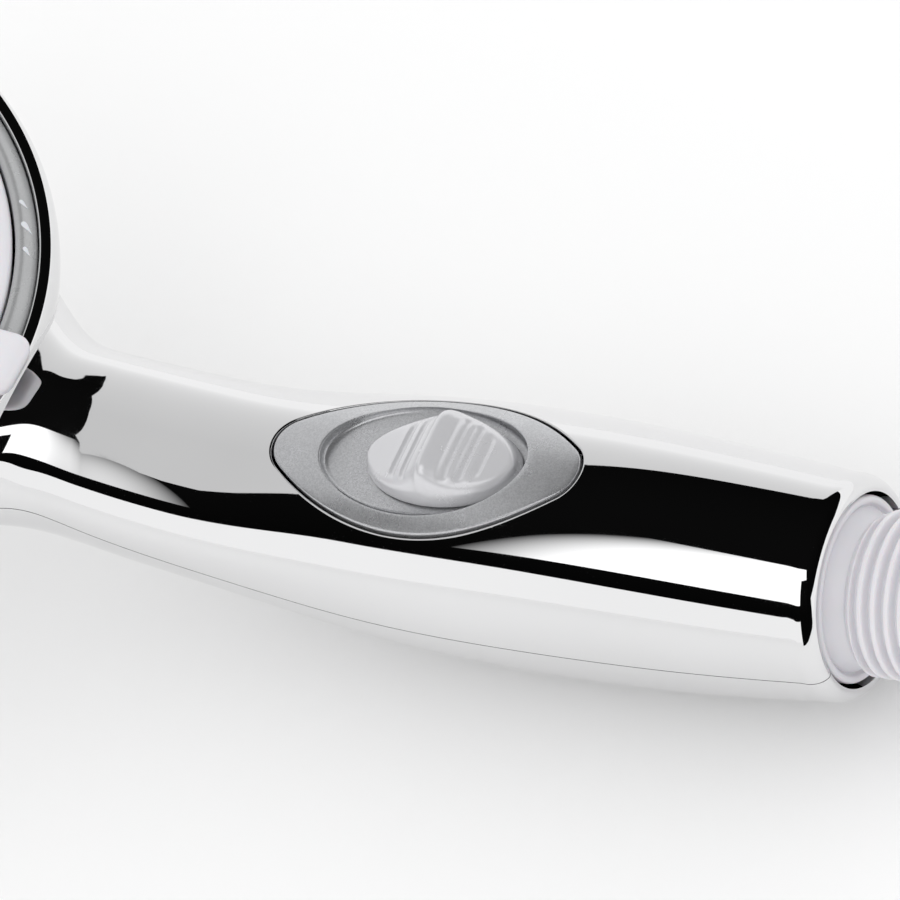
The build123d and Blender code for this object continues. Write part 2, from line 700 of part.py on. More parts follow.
with BuildPart() as inlet_nipple:
    collar = -NIPPLE_LENGTH + COLLAR_LENGTH
    flange = -NIPPLE_LENGTH - FLANGE_THICKNESS
    # Threaded barrel, trimmed to its length with a chamfered end
    barrel = [(collar - 1.5, 0), (collar - 1.5, THREAD_ROOT), (3, THREAD_ROOT), (3, 0)]
    revolve(outline(Plane.XZ, barrel), axis=Axis.X)
    add(thread_ridge.part)
    chamfered = [
        (collar - 0.5, 0), (collar - 0.5, THREAD_RADIUS + 0.1), (-1.3, THREAD_RADIUS + 0.1),
        (0, THREAD_ROOT - 0.1), (0, 0),
    ]
    revolve(outline(Plane.XZ, chamfered), axis=Axis.X, mode=Mode.INTERSECT)
    # Collar, flange, and the tail that enters the valve
    shank = [
        (TAIL_END, 0), (TAIL_END, TAIL_RADIUS - 0.8), (TAIL_END + 0.8, TAIL_RADIUS),
        (TAIL_GROOVE - 1.1, TAIL_RADIUS), (TAIL_GROOVE - 1.1, TAIL_RADIUS - 2.0),
        (TAIL_GROOVE + 1.1, TAIL_RADIUS - 2.0), (TAIL_GROOVE + 1.1, TAIL_RADIUS),
        (SOCKET_MOUTH, TAIL_RADIUS), (SOCKET_MOUTH, SOCKET_WALL), (flange, SOCKET_WALL),
        (flange, FLANGE_RADIUS - 0.3), (flange + 0.3, FLANGE_RADIUS),
        (-NIPPLE_LENGTH - 0.5, FLANGE_RADIUS), (-NIPPLE_LENGTH, FLANGE_RADIUS - 0.5),
        (-NIPPLE_LENGTH, THREAD_RADIUS), (collar, THREAD_RADIUS), (collar, 0),
    ]
    revolve(outline(Plane.XZ, shank), axis=Axis.X)
    # Water way, wider at the hose end for the strainer and the regulator
    bore = [
        (TAIL_END - 1, 0), (TAIL_END - 1, INLET_BORE), (REGULATOR_SEAT, INLET_BORE),
        (REGULATOR_SEAT, INLET_MOUTH), (1, INLET_MOUTH), (1, 0),
    ]
    revolve(outline(Plane.XZ, bore), axis=Axis.X, mode=Mode.SUBTRACT)
inlet_nipple.part.label = "inlet_nipple"
export_step(inlet_nipple.part, "parts/inlet_nipple.step")

with BuildPart() as nipple_seal:
    revolve(ring_profile(Plane.XZ, TAIL_GROOVE, TAIL_RADIUS - 0.98, 0.98), axis=Axis.X)
nipple_seal.part.label = "nipple_seal"
export_step(nipple_seal.part, "parts/nipple_seal.step")

with BuildPart() as flow_regulator:
    with BuildSketch(along_x(REGULATOR_SEAT)):
        Circle(INLET_MOUTH)
        with PolarLocations(3.2, 6):
            Circle(0.9, mode=Mode.SUBTRACT)
    extrude(amount=2.0)
flow_regulator.part.label = "flow_regulator"
export_step(flow_regulator.part, "parts/flow_regulator.step")

with BuildPart() as strainer:
    with BuildSketch(along_x(REGULATOR_SEAT + 2.0)):
        Circle(INLET_MOUTH)
        for ring_radius, holes in STRAINER_HOLES:
            with PolarLocations(ring_radius, holes):
                Circle(0.55, mode=Mode.SUBTRACT)
    extrude(amount=0.6)
    with BuildSketch(along_x(REGULATOR_SEAT + 2.6)):
        Circle(INLET_MOUTH)
        Circle(INLET_MOUTH - 0.8, mode=Mode.SUBTRACT)
    extrude(amount=0.9)
strainer.part.label = "strainer"
export_step(strainer.part, "parts/strainer.step")


# ---- Neck tube -----------------------------------------------------------------------
with BuildPart() as neck_tube:
    with BuildLine() as way:
        FilletPolyline(
            (VALVE_END + TUBE_REACH, 0, PASSAGE_Z),
            (VALVE_END - 8, 0, PASSAGE_Z),
            tuple(head_point(58, DUCT_DEPTH)),
            tuple(head_point(DUCT_MOUTH - TUBE_REACH, DUCT_DEPTH)),
            radius=30,
        )
    for radius, mode in ((TUBE_RADIUS, Mode.ADD), (TUBE_BORE, Mode.SUBTRACT)):
        with BuildSketch(Plane(origin=way.line @ 0, z_dir=way.line % 0)):
            Circle(radius)
        sweep(path=way.line, mode=mode)
    # Grooves for the seals at both ends
    revolve(
        outline(passage_section, groove_profile(VALVE_END + 4, 3.3, TUBE_RADIUS)),
        axis=passage_axis,
        mode=Mode.SUBTRACT,
    )
    revolve(
        outline(duct_section, groove_profile(DUCT_MOUTH - 4, 3.3, TUBE_RADIUS)),
        axis=duct_axis,
        mode=Mode.SUBTRACT,
    )
neck_tube.part.label = "neck_tube"
export_step(neck_tube.part, "parts/neck_tube.step")

with BuildPart() as tube_seals:
    revolve(ring_profile(passage_section, VALVE_END + 4, 3.84, 0.52), axis=passage_axis)
    revolve(ring_profile(duct_section, DUCT_MOUTH - 4, 3.84, 0.52), axis=duct_axis)
tube_seals.part.label = "tube_seals"
export_step(tube_seals.part, "parts/tube_seals.step")


# ---- Spray head: fixed parts -----------------------------------------------------------
with BuildPart() as manifold:
    # Disc with a turned post in the middle
    plate = [
        (0, MANIFOLD_BACK - 5), (HUB_RADIUS, MANIFOLD_BACK - 5), (HUB_RADIUS, MANIFOLD_BACK),
        (MANIFOLD_RADIUS, MANIFOLD_BACK), (MANIFOLD_RADIUS, MANIFOLD_FRONT),
        (AXLE_RADIUS, MANIFOLD_FRONT), (AXLE_RADIUS, AXLE_TOP), (0, AXLE_TOP),
    ]
    revolve(outline(head_section, plate), axis=head_axis)
    # Bosses that stand on the back shell's posts
    with BuildSketch(head_face.offset(POST_FRONT)):
        with Locations(*post_places()):
            Circle(3.0)
    extrude(amount=MANIFOLD_BACK - POST_FRONT)
    # Duct from the neck tube
    with BuildSketch(Plane(origin=head_point(DUCT_MOUTH, DUCT_DEPTH), z_dir=HEAD_TO_NECK)):
        Circle(TUBE_RADIUS + 1.7)
    extrude(amount=DUCT_END - DUCT_MOUTH)
    with BuildSketch(Plane(origin=head_point(DUCT_MOUTH, DUCT_DEPTH), z_dir=HEAD_TO_NECK)):
        Circle(TUBE_RADIUS + 0.1)
    extrude(amount=DUCT_END + 2 - DUCT_MOUTH, mode=Mode.SUBTRACT)
    # Port from the duct to the front
    with BuildSketch(head_face.offset(DUCT_DEPTH)):
        with Locations((PORT_PLACE, 0)):
            Circle(PORT_RADIUS)
    extrude(amount=MANIFOLD_FRONT - DUCT_DEPTH + 1, mode=Mode.SUBTRACT)
    # Holes for the head screws and the centre screw
    with BuildSketch(head_face.offset(MANIFOLD_FRONT)):
        with Locations(*post_places()):
            Circle(HEAD_SCREW_RADIUS)
    extrude(amount=-6, mode=Mode.SUBTRACT)
    with BuildSketch(head_face.offset(MANIFOLD_FRONT)):
        with Locations(*post_places()):
            Circle(2.3)
    extrude(amount=-1.5, mode=Mode.SUBTRACT)
    with BuildSketch(head_face.offset(AXLE_TOP)):
        Circle(CENTRE_SCREW_RADIUS)
    extrude(amount=-CENTRE_SCREW_LENGTH, mode=Mode.SUBTRACT)
manifold.part.label = "manifold"
export_step(manifold.part, "parts/manifold.step")

with BuildPart() as port_seal:
    with BuildSketch(head_face.offset(MANIFOLD_FRONT)):
        with Locations((PORT_PLACE, 0)):
            Circle(PORT_RADIUS + 1.4)
            Circle(PORT_RADIUS, mode=Mode.SUBTRACT)
    extrude(amount=ROTOR_BACK - MANIFOLD_FRONT - 0.1)
port_seal.part.label = "port_seal"
export_step(port_seal.part, "parts/port_seal.step")

with BuildPart() as head_screws:
    with BuildSketch(head_face.offset(MANIFOLD_FRONT - 1.5)):
        with Locations(*post_places()):
            Circle(2.2)
    extrude(amount=1.3)
    with BuildSketch(head_face.offset(MANIFOLD_FRONT - 1.5)):
        with Locations(*post_places()):
            Circle(HEAD_SCREW_RADIUS)
    extrude(amount=POST_FRONT - SCREW_BITE + 0.5 - MANIFOLD_FRONT + 1.5)
    with BuildSketch(head_face.offset(MANIFOLD_FRONT - 0.2)):
        with Locations(*post_places()):
            Rectangle(3.0, 0.6)
            Rectangle(0.6, 3.0)
    extrude(amount=-0.7, mode=Mode.SUBTRACT)
head_screws.part.label = "head_screws"
export_step(head_screws.part, "parts/head_screws.step")

with BuildPart() as mode_ring:
    revolve(
        outline(
            head_section,
            [
                (RING_INNER, SHELF - 2.0), (RING_INNER, 0.9), (RING_INNER + 0.3, 1.3),
                (RING_INNER + 0.9, 1.5), (RING_OUTER - 0.3, 0.2), (RING_OUTER, -0.1),
                (RING_OUTER, SHELF), (SKIRT_RADIUS, SHELF), (SKIRT_RADIUS, SHELF - 2.0),
            ],
        ),
        axis=head_axis,
    )
    # Pockets for the three drop marks
    for angle in MARK_ANGLES:
        extrude(drop_outline(angle), amount=3, mode=Mode.SUBTRACT)
mode_ring.part.label = "mode_ring"
export_step(mode_ring.part, "parts/mode_ring.step")

with BuildPart() as drop_marks:
    for angle in MARK_ANGLES:
        extrude(drop_outline(angle), amount=MARK_TOP - MARK_FLOOR)
drop_marks.part.label = "drop_marks"
export_step(drop_marks.part, "parts/drop_marks.step")


# ---- Spray head: the part that turns ------------------------------------------------------
with BuildPart() as selector_disc:
    disc = [
        (AXLE_RADIUS + 0.05, ROTOR_BACK), (ROTOR_RADIUS, ROTOR_BACK),
        (ROTOR_RADIUS, ROTOR_FRONT), (HUB_RADIUS, ROTOR_FRONT), (HUB_RADIUS, HUB_TOP),
        (AXLE_RADIUS + 0.05, HUB_TOP),
    ]
    revolve(outline(head_section, disc), axis=head_axis)
    # One port for each spray mode, thirty degrees apart
    with BuildSketch(head_face.offset(ROTOR_BACK)):
        for step in range(-2, 3):
            angle = step * MODE_STEP * pi / 180
            with Locations((PORT_PLACE * cos(angle), PORT_PLACE * sin(angle))):
                Circle(PORT_RADIUS - 0.5 - 0.3 * abs(step))
    extrude(amount=3, mode=Mode.SUBTRACT)
selector_disc.part.label = "selector_disc"
export_step(selector_disc.part, "parts/selector_disc.step")

with BuildPart() as selector_ring:
    rim = [
        (ROTOR_RADIUS, ROTOR_BACK), (FACE_RADIUS, ROTOR_BACK), (FACE_RADIUS, 0.5),
        (FACE_RADIUS - 0.6, 1.1), (ROTOR_RADIUS, 1.1),
    ]
    revolve(outline(head_section, rim), axis=head_axis)
    # Lever that reaches over the mode ring
    with BuildSketch(head_section.offset(-LEVER_HALF_WIDTH)):
        with BuildLine():
            Polyline(
                (ROTOR_RADIUS + 0.6, 0.5), (ROTOR_RADIUS + 0.6, 1.6), (ROTOR_RADIUS + 4, 3.6),
                (LEVER_END - 2, 5.2), (LEVER_END, 3.6), (LEVER_END, LEVER_BOTTOM),
                (FACE_RADIUS, LEVER_BOTTOM), (FACE_RADIUS, 0.5), close=True,
            )
        make_face()
    extrude(amount=2 * LEVER_HALF_WIDTH)
    fillet(selector_ring.edges().filter_by(head_axis).sort_by(Axis.X)[-2:], radius=2.2)
selector_ring.part.label = "selector_ring"
export_step(selector_ring.part, "parts/selector_ring.step")

with BuildPart() as nozzle_mat:
    with BuildSketch(head_face.offset(MAT_BACK)):
        Circle(ROTOR_RADIUS)
        Circle(CAP_RADIUS, mode=Mode.SUBTRACT)
    extrude(amount=MAT_FRONT - MAT_BACK)
    for ring_radius, count in NOZZLE_RINGS:
        tip = face_height(ring_radius) + NOZZLE_PROUD
        with Locations(head_face.offset((MAT_BACK + tip) / 2)):
            with PolarLocations(ring_radius, count):
                Cone(NOZZLE_BASE, NOZZLE_TIP, tip - MAT_BACK)
    for ring_radius, count in NOZZLE_RINGS:
        with Locations(head_face):
            with PolarLocations(ring_radius, count):
                Cylinder(NOZZLE_BORE, 12, mode=Mode.SUBTRACT)
nozzle_mat.part.label = "nozzle_mat"
export_step(nozzle_mat.part, "parts/nozzle_mat.step")

with BuildPart() as face_plate:
    with BuildSketch(head_section):
        with BuildLine():
            Line((CAP_RADIUS, MAT_FRONT), (ROTOR_RADIUS, MAT_FRONT))
            Line((ROTOR_RADIUS, MAT_FRONT), (ROTOR_RADIUS, face_height(ROTOR_RADIUS)))
            ThreePointArc(
                (ROTOR_RADIUS, face_height(ROTOR_RADIUS)),
                (22, face_height(22)),
                (CAP_RADIUS, face_height(CAP_RADIUS)),
            )
            Line((CAP_RADIUS, face_height(CAP_RADIUS)), (CAP_RADIUS, MAT_FRONT))
        make_face()
    revolve(axis=head_axis)
    for ring_radius, count in NOZZLE_RINGS:
        with Locations(head_face):
            with PolarLocations(ring_radius, count):
                Cylinder(NOZZLE_BASE + 0.05, 12, mode=Mode.SUBTRACT)
face_plate.part.label = "face_plate"
export_step(face_plate.part, "parts/face_plate.step")

with BuildPart() as centre_cap:
    cap_edge = face_height(CAP_RADIUS) + 0.2
    revolve(
        outline(
            head_section,
            [
                (0, 1.4), (CAP_RADIUS - 1.2, 1.4), (CAP_RADIUS - 1.2, MAT_BACK),
                (CAP_RADIUS, MAT_BACK), (CAP_RADIUS, cap_edge), (CAP_RADIUS - 0.6, cap_edge + 0.4),
                (0, cap_edge + 0.7),
            ],
        ),
        axis=head_axis,
    )
centre_cap.part.label = "centre_cap"
export_step(centre_cap.part, "parts/centre_cap.step")

with BuildPart() as hub_washer:
    with BuildSketch(head_face.offset(AXLE_TOP)):
        Circle(CAP_RADIUS - 1.6)
        Circle(CENTRE_SCREW_RADIUS, mode=Mode.SUBTRACT)
    extrude(amount=0.6)
hub_washer.part.label = "hub_washer"
export_step(hub_washer.part, "parts/hub_washer.step")

with BuildPart() as centre_screw:
    screw = [
        (0, AXLE_TOP - CENTRE_SCREW_LENGTH + 1),
        (CENTRE_SCREW_RADIUS, AXLE_TOP - CENTRE_SCREW_LENGTH + 1),
        (CENTRE_SCREW_RADIUS, AXLE_TOP + 0.6), (2.6, AXLE_TOP + 0.6), (2.6, AXLE_TOP + 1.6),
        (1.9, AXLE_TOP + 2.2), (0, AXLE_TOP + 2.2),
    ]
    revolve(outline(head_section, screw), axis=head_axis)
    with BuildSketch(head_face.offset(AXLE_TOP + 2.2)):
        Rectangle(3.0, 0.6)
        Rectangle(0.6, 3.0)
    extrude(amount=-0.9, mode=Mode.SUBTRACT)
centre_screw.part.label = "centre_screw"
export_step(centre_screw.part, "parts/centre_screw.step")

with BuildPart() as turbine:
    with BuildSketch(head_face.offset(ROTOR_FRONT + 0.3)):
        Circle(HUB_RADIUS + 1.6)
        with PolarLocations(HUB_RADIUS + 4.6, TURBINE_BLADES):
            with Locations(Location((0, 0, 0), 25)):
                Rectangle(7.0, 0.9)
        Circle(HUB_RADIUS + 0.06, mode=Mode.SUBTRACT)
    extrude(amount=TURBINE_HEIGHT)
turbine.part.label = "turbine"
export_step(turbine.part, "parts/turbine.step")
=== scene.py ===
"""Looks for the handheld shower head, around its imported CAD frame."""
import json
from math import atan2, cos, pi, radians, sin

import bmesh
import bpy
import numpy as np
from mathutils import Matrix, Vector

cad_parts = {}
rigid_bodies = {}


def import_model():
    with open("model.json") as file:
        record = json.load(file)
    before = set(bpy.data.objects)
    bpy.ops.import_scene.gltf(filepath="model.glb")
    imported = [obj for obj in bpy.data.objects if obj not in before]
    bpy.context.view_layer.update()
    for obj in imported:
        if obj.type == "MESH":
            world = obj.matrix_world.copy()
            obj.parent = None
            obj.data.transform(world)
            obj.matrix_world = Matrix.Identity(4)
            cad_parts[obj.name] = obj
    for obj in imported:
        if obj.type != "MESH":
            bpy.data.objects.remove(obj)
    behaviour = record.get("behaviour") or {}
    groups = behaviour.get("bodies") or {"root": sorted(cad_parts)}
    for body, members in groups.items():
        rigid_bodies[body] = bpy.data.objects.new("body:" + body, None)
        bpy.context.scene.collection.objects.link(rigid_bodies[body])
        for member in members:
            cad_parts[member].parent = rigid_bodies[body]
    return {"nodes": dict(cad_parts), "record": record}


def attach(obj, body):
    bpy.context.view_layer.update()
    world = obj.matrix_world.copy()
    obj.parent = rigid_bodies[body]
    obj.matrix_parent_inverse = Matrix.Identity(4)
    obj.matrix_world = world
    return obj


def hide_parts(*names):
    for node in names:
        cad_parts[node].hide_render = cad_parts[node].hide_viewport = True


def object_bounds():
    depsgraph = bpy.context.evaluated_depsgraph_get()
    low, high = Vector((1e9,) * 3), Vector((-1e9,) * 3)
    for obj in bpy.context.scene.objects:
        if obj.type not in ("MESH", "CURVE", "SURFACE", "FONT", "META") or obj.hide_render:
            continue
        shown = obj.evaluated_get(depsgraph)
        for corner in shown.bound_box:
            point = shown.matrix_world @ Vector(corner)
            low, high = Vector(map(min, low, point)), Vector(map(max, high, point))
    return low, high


for stray in list(bpy.data.objects):
    bpy.data.objects.remove(stray)
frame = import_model()
cad_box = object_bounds()
nodes = frame["nodes"]
MM = 0.001                 # metres in a millimetre; lengths below are millimetres unless said

# ---- Shape of the chromed body -------------------------------------------------------------
# Millimetres, in the row frame, as the CAD shells: oval sections along the handle and neck,
# joined to a turned cup behind the spray face. The meshes here are smooth grids of that shape.
HEAD_CENTRE = np.array([-172.2, 0.0, 47.3])
HEAD_NORMAL = np.array([0.5, 0.0, 0.75 ** 0.5])
TO_NECK = np.array([0.75 ** 0.5, 0.0, -0.5])
ACROSS = np.array([0.0, 1.0, 0.0])
SECTIONS = [    # centre x, centre z, half width, half height, turn of the section in degrees
    (-13.3, 0.0, 14.1, 14.1, 0), (-28.5, 0.1, 15.4, 16.2, 0), (-53.5, 0.9, 16.7, 18.0, 0),
    (-78.5, 1.7, 16.5, 16.5, 0), (-103.5, 3.6, 14.5, 13.7, 0), (-122.0, 7.6, 13.7, 13.3, 0),
]
NECK_SECTIONS = [    # distance from the head's axis, depth, half width, half height
    (43.5, -12.6, 18.5, 12.2), (30.0, -12.9, 28.0, 11.6), (14.0, -13.0, 33.0, 10.6),
]
NECK_TURN = 30.0           # degrees that the neck's sections lean, as the head does
WALL = 2.0
HANDLE_START = -16.2       # where the rounded mouth turns into the oval sections
MOUTH = [(-13.3, 12.3), (-13.2, 12.7), (-13.55, 13.5), (-15.6, 14.42)]       # x, radius
MOUTH_BORE = 12.32
CUP_BACK = [(0.05, -26.0), (26.0, -21.7), (40.0, -13.2), (46.6, -5.0)]       # radius, height
CUP_SIDE = [(46.6, -5.0), (45.7, 0.2), (45.1, 0.8)]
CUP_INSIDE = [(0.05, -24.0), (26.0, -19.7), (40.0, -11.8), (44.6, -5.4)]
CAVITY_NECK = [(44.4, -5.2), (42.2, -5.2), (42.2, -3.0), (0.05, -3.0)]
RECESS = [    # takes the mode ring, with a rounded rim
    (0.05, -3.2), (43.65, -3.2), (43.65, 0.55), (43.71, 0.70), (43.86, 0.79), (44.2, 0.83),
    (46.0, 3.0), (0.05, 3.0),
]
AROUND = 224               # points round the handle
CUP_AROUND = 320           # points round the head
CAVITY_AROUND = 160        # points round the hidden cavity


def smooth_path(points, start=None, end=None, steps=24):
    """A cubic spline through the points, as an array of points; tangents clamp its ends."""
    points = np.array(points, float)
    t = np.concatenate([[0], np.cumsum(np.linalg.norm(np.diff(points, axis=0), axis=1))])
    slopes = spline_slopes(t, points, start, end)
    out = []
    for i in range(len(t) - 1):
        h = t[i + 1] - t[i]
        s = np.linspace(0, 1, steps, endpoint=i == len(t) - 2)[:, None]
        out.append(
            (2 * s**3 - 3 * s**2 + 1) * points[i] + (s**3 - 2 * s**2 + s) * h * slopes[i]
            + (3 * s**2 - 2 * s**3) * points[i + 1] + (s**3 - s**2) * h * slopes[i + 1]
        )
    return np.vstack(out)


def spline_slopes(t, points, start=None, end=None):
    """Slopes of the cubic spline through the points, natural where an end has no tangent."""
    count = len(t)
    matrix, right = np.zeros((count, count)), np.zeros(points.shape)
    h = np.diff(t)
    for i in range(1, count - 1):
        matrix[i, i - 1:i + 2] = 1 / h[i - 1], 2 / h[i - 1] + 2 / h[i], 1 / h[i]
        right[i] = 3 * (
            (points[i] - points[i - 1]) / h[i - 1] ** 2 + (points[i + 1] - points[i]) / h[i] ** 2
        )
    for row, other, tangent in ((0, 1, start), (-1, -2, end)):
        if tangent is None:
            matrix[row, row], matrix[row, other] = 2, 1
            near = h[0] if row == 0 else h[-1]
            right[row] = 3 * (points[other] - points[row]) / near * (1 if row == 0 else -1)
        else:
            matrix[row, row] = 1
            right[row] = np.array(tangent, float) / np.linalg.norm(tangent)
    return np.linalg.solve(matrix, right)


def head_point(u, height):
    """Point in the head's middle plane: u towards the neck, height along its axis."""
    return HEAD_CENTRE + TO_NECK * u + HEAD_NORMAL * height


stations = [np.array(s, float) for s in SECTIONS]
for u, depth, half_width, half_height in NECK_SECTIONS:
    centre = head_point(u, depth)
    stations.append(np.array([centre[0], centre[2], half_width, half_height, NECK_TURN]))
stem = smooth_path(stations, steps=24)
stem_centres = np.stack([stem[:, 0], 0 * stem[:, 0], stem[:, 1]], 1)
stem_turns = np.radians(np.clip(stem[:, 4], 0, NECK_TURN))
stem_ups = np.stack([np.sin(stem_turns), 0 * stem_turns, np.cos(stem_turns)], 1)
angles = np.linspace(0, 2 * pi, AROUND, endpoint=False)


def ring(centre, up, half_width, half_height):
    """An elliptical ring of points; up is the direction of its half height."""
    return (
        np.array(centre)
        + half_width * np.cos(angles)[:, None] * ACROSS
        + half_height * np.sin(angles)[:, None] * np.array(up)
    )


def stem_at(x):
    """Centre height, half width and half height of the handle's section at x."""
    return [np.interp(-x, -stem[:, 0], stem[:, k]) for k in (1, 2, 3)]


def stem_rings(inset):
    """The handle and neck, from behind the mouth to inside the cup."""
    return [
        ring(centre, up, size[0] - inset, size[1] - inset)
        for centre, up, size in zip(stem_centres, stem_ups, stem[:, 2:4])
        if centre[0] < HANDLE_START
    ]


def mesh_of(name, points, faces):
    """A new object from points in millimetres."""
    mesh = bpy.data.meshes.new(name)
    mesh.from_pydata([tuple(p) for p in np.asarray(points) * MM], [], faces)
    mesh.update()
    piece = bpy.data.objects.new(name, mesh)
    bpy.context.scene.collection.objects.link(piece)
    return piece


def stacked(name, rings, closed=True, capped=False):
    """A mesh through rings of equal length; closed joins the last ring to the first."""
    count, around = len(rings), len(rings[0])
    faces = []
    for i in range(count if closed else count - 1):
        first, second = i * around, (i + 1) % count * around
        for j in range(around):
            k = (j + 1) % around
            faces.append((first + j, first + k, second + k, second + j))
    if capped:
        last = (count - 1) * around
        faces += [tuple(range(around))[::-1], tuple(range(last, last + around))]
    return mesh_of(name, np.concatenate(rings), faces)


def turned_rings(profile, around):
    """Circles round the head's axis through (radius, height) points."""
    turns = np.linspace(0, 2 * pi, around, endpoint=False)
    spokes = np.cos(turns)[:, None] * TO_NECK + np.sin(turns)[:, None] * ACROSS
    return [HEAD_CENTRE + HEAD_NORMAL * height + radius * spokes for radius, height in profile]


def combine(piece, tool, operation="DIFFERENCE"):
    """Join the tool to the piece or take it out, and delete the tool."""
    for solid in (piece, tool):
        outward(solid)
    modifier = piece.modifiers.new("combine", "BOOLEAN")
    modifier.operation, modifier.solver, modifier.object = operation, "MANIFOLD", tool
    bpy.context.view_layer.update()
    result = bpy.data.meshes.new_from_object(
        piece.evaluated_get(bpy.context.evaluated_depsgraph_get())
    )
    piece.modifiers.clear()
    piece.data = result
    bpy.data.objects.remove(tool)


def outward(piece):
    """Turn every face of a closed piece outward."""
    shape = bmesh.new()
    shape.from_mesh(piece.data)
    bmesh.ops.recalc_face_normals(shape, faces=shape.faces)
    shape.to_mesh(piece.data)
    shape.free()


SMOOTH_UNDER = 40          # degrees between faces that are shaded smooth


def smooth(piece, degrees=SMOOTH_UNDER):
    """Outward normals, smooth shading, and sharp edges over that angle."""
    outward(piece)
    piece.data.shade_smooth()
    piece.data.set_sharp_from_angle(angle=radians(degrees))


def stand_for(piece, body, slot, *replaced):
    """Ride the piece on its body, with its slot and the nodes that it replaces."""
    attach(piece, body)
    for node in replaced:
        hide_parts(node)
    finished.append((piece, slot))


finished = []

# ---- Switch trim, its opening in the shell, and the knob -------------------------------------
SWITCH_X = -70.55
TRIM_HALF_LENGTH, TRIM_HALF_WIDTH = 23.4, 10.4
TRIM_SIDE_RADIUS, TRIM_TIP_RADIUS = 37.5, 4.4
TIP_POINTS, SIDE_POINTS = 30, 60
EDGE_GAP = 0.35
LIP_ROUND, LIP_DEPTH = 0.3, 1.8      # rounded edge of the shell round the opening
RECESS_HALF_LENGTH, RECESS_HALF_WIDTH, RECESS_FLOOR = 15.8, 8.3, 15.9
PAN_WALL = 1.4
PLATE_THICKNESS, PLATE_ROUND, RECESS_ROUND, RECESS_FOOT = 1.9, 0.22, 0.25, 0.8
OUTLINE_FLATTEN = 0.53     # spreads the recess's points like those of the almond
KNOB_X, KNOB_HALF_LENGTH, KNOB_HALF_WIDTH, KNOB_BOTTOM = -67.9, 11.5, 6.6, 16.2
SLOT_X, SLOT_HALF_LENGTH, SLOT_HALF_WIDTH = KNOB_X - 3.0, 6.3, 2.3
SLOT_POWER = 0.35          # squareness of the slot; 1 is an oval


def almond(gap):
    """Points of the trim's outline in plan, grown by the gap."""
    drop, tip_x = TRIM_SIDE_RADIUS - TRIM_HALF_WIDTH, TRIM_HALF_LENGTH - TRIM_TIP_RADIUS
    lean = atan2(drop, tip_x)
    arcs = []
    for x, y, radius, start, end, count in (
        (tip_x, 0, TRIM_TIP_RADIUS, -lean, lean, TIP_POINTS),
        (0, -drop, TRIM_SIDE_RADIUS, lean, pi - lean, SIDE_POINTS),
        (-tip_x, 0, TRIM_TIP_RADIUS, pi - lean, pi + lean, TIP_POINTS),
        (0, drop, TRIM_SIDE_RADIUS, pi + lean, 2 * pi - lean, SIDE_POINTS),
    ):
        turn = np.linspace(start, end, count, endpoint=False)[:, None]
        arcs.append(
            [SWITCH_X + x, y] + (radius + gap) * np.hstack([np.cos(turn), np.sin(turn)])
        )
    return np.vstack(arcs)


def body_top(plan):
    """Height of the handle's surface over points in plan."""
    height, half_width, half_height = stem_at(plan[:, 0])
    return height + half_height * np.sqrt(1 - (plan[:, 1] / half_width) ** 2)


def on_body(plan, depth):
    """Plan points laid on the handle's surface, sunk by the depth."""
    return np.column_stack([plan, body_top(plan) - depth])


def at_height(plan, height):
    """Plan points at one height."""
    return np.column_stack([plan, np.full(len(plan), height)])


outline_turns = np.arctan2(almond(0)[:, 1], (almond(0)[:, 0] - SWITCH_X) * OUTLINE_FLATTEN)


def oval(grow):
    """The recess's edge, with as many points as the almond."""
    return np.column_stack([
        SWITCH_X + (RECESS_HALF_LENGTH + grow) * np.cos(outline_turns),
        (RECESS_HALF_WIDTH + grow) * np.sin(outline_turns),
    ])


def rounding(radius, count=4):
    """(sideways, down) steps of a quarter round, from its top to its side."""
    turns = np.linspace(0, pi / 2, count + 1)
    return [(radius * sin(t), radius * (1 - cos(t))) for t in turns]


def slot_edge(grow):
    """A rounded slot round the switch's post."""
    c, s = np.cos(outline_turns), np.sin(outline_turns)
    return np.column_stack([
        SLOT_X + (SLOT_HALF_LENGTH + grow) * np.sign(c) * np.abs(c) ** SLOT_POWER,
        (SLOT_HALF_WIDTH + grow) * np.sign(s) * np.abs(s) ** SLOT_POWER,
    ])


def trim_rings():
    """The trim: its rounded edge, top, recess, the knob's slot, and the pan under the recess."""
    rings = [on_body(almond(0), PLATE_THICKNESS)]
    rings += [
        on_body(almond(side - PLATE_ROUND), down) for side, down in rounding(PLATE_ROUND)
    ][::-1]
    start, end = almond(-PLATE_ROUND), oval(RECESS_ROUND)
    rings += [on_body(start + (end - start) * s, 0) for s in np.linspace(0, 1, 12)[1:]]
    rings += [
        on_body(oval(RECESS_ROUND - side), down) for side, down in rounding(RECESS_ROUND)[1:]
    ]
    rings += [
        at_height(oval(-down), RECESS_FLOOR + RECESS_FOOT - side)
        for side, down in rounding(RECESS_FOOT, 6)
    ]
    start, end = oval(-RECESS_FOOT), slot_edge(0)
    rings += [at_height(start + (end - start) * s, RECESS_FLOOR) for s in (0.3, 0.6, 0.9, 1)]
    rings += [at_height(end, RECESS_FLOOR - PAN_WALL)]
    outer = oval(PAN_WALL)
    rings += [at_height(outer, RECESS_FLOOR - PAN_WALL)]
    pan_top = np.maximum(body_top(outer) - PLATE_THICKNESS, RECESS_FLOOR - PAN_WALL + 0.1)
    return rings + [np.column_stack([outer, pan_top])]


def lip_rings():
    """Rounded edge of the shell round the opening."""
    wide = EDGE_GAP + LIP_ROUND
    rings = [on_body(almond(wide - side), down) for side, down in rounding(LIP_ROUND, 5)]
    return rings + [on_body(almond(EDGE_GAP), LIP_DEPTH), on_body(almond(wide), LIP_DEPTH)]


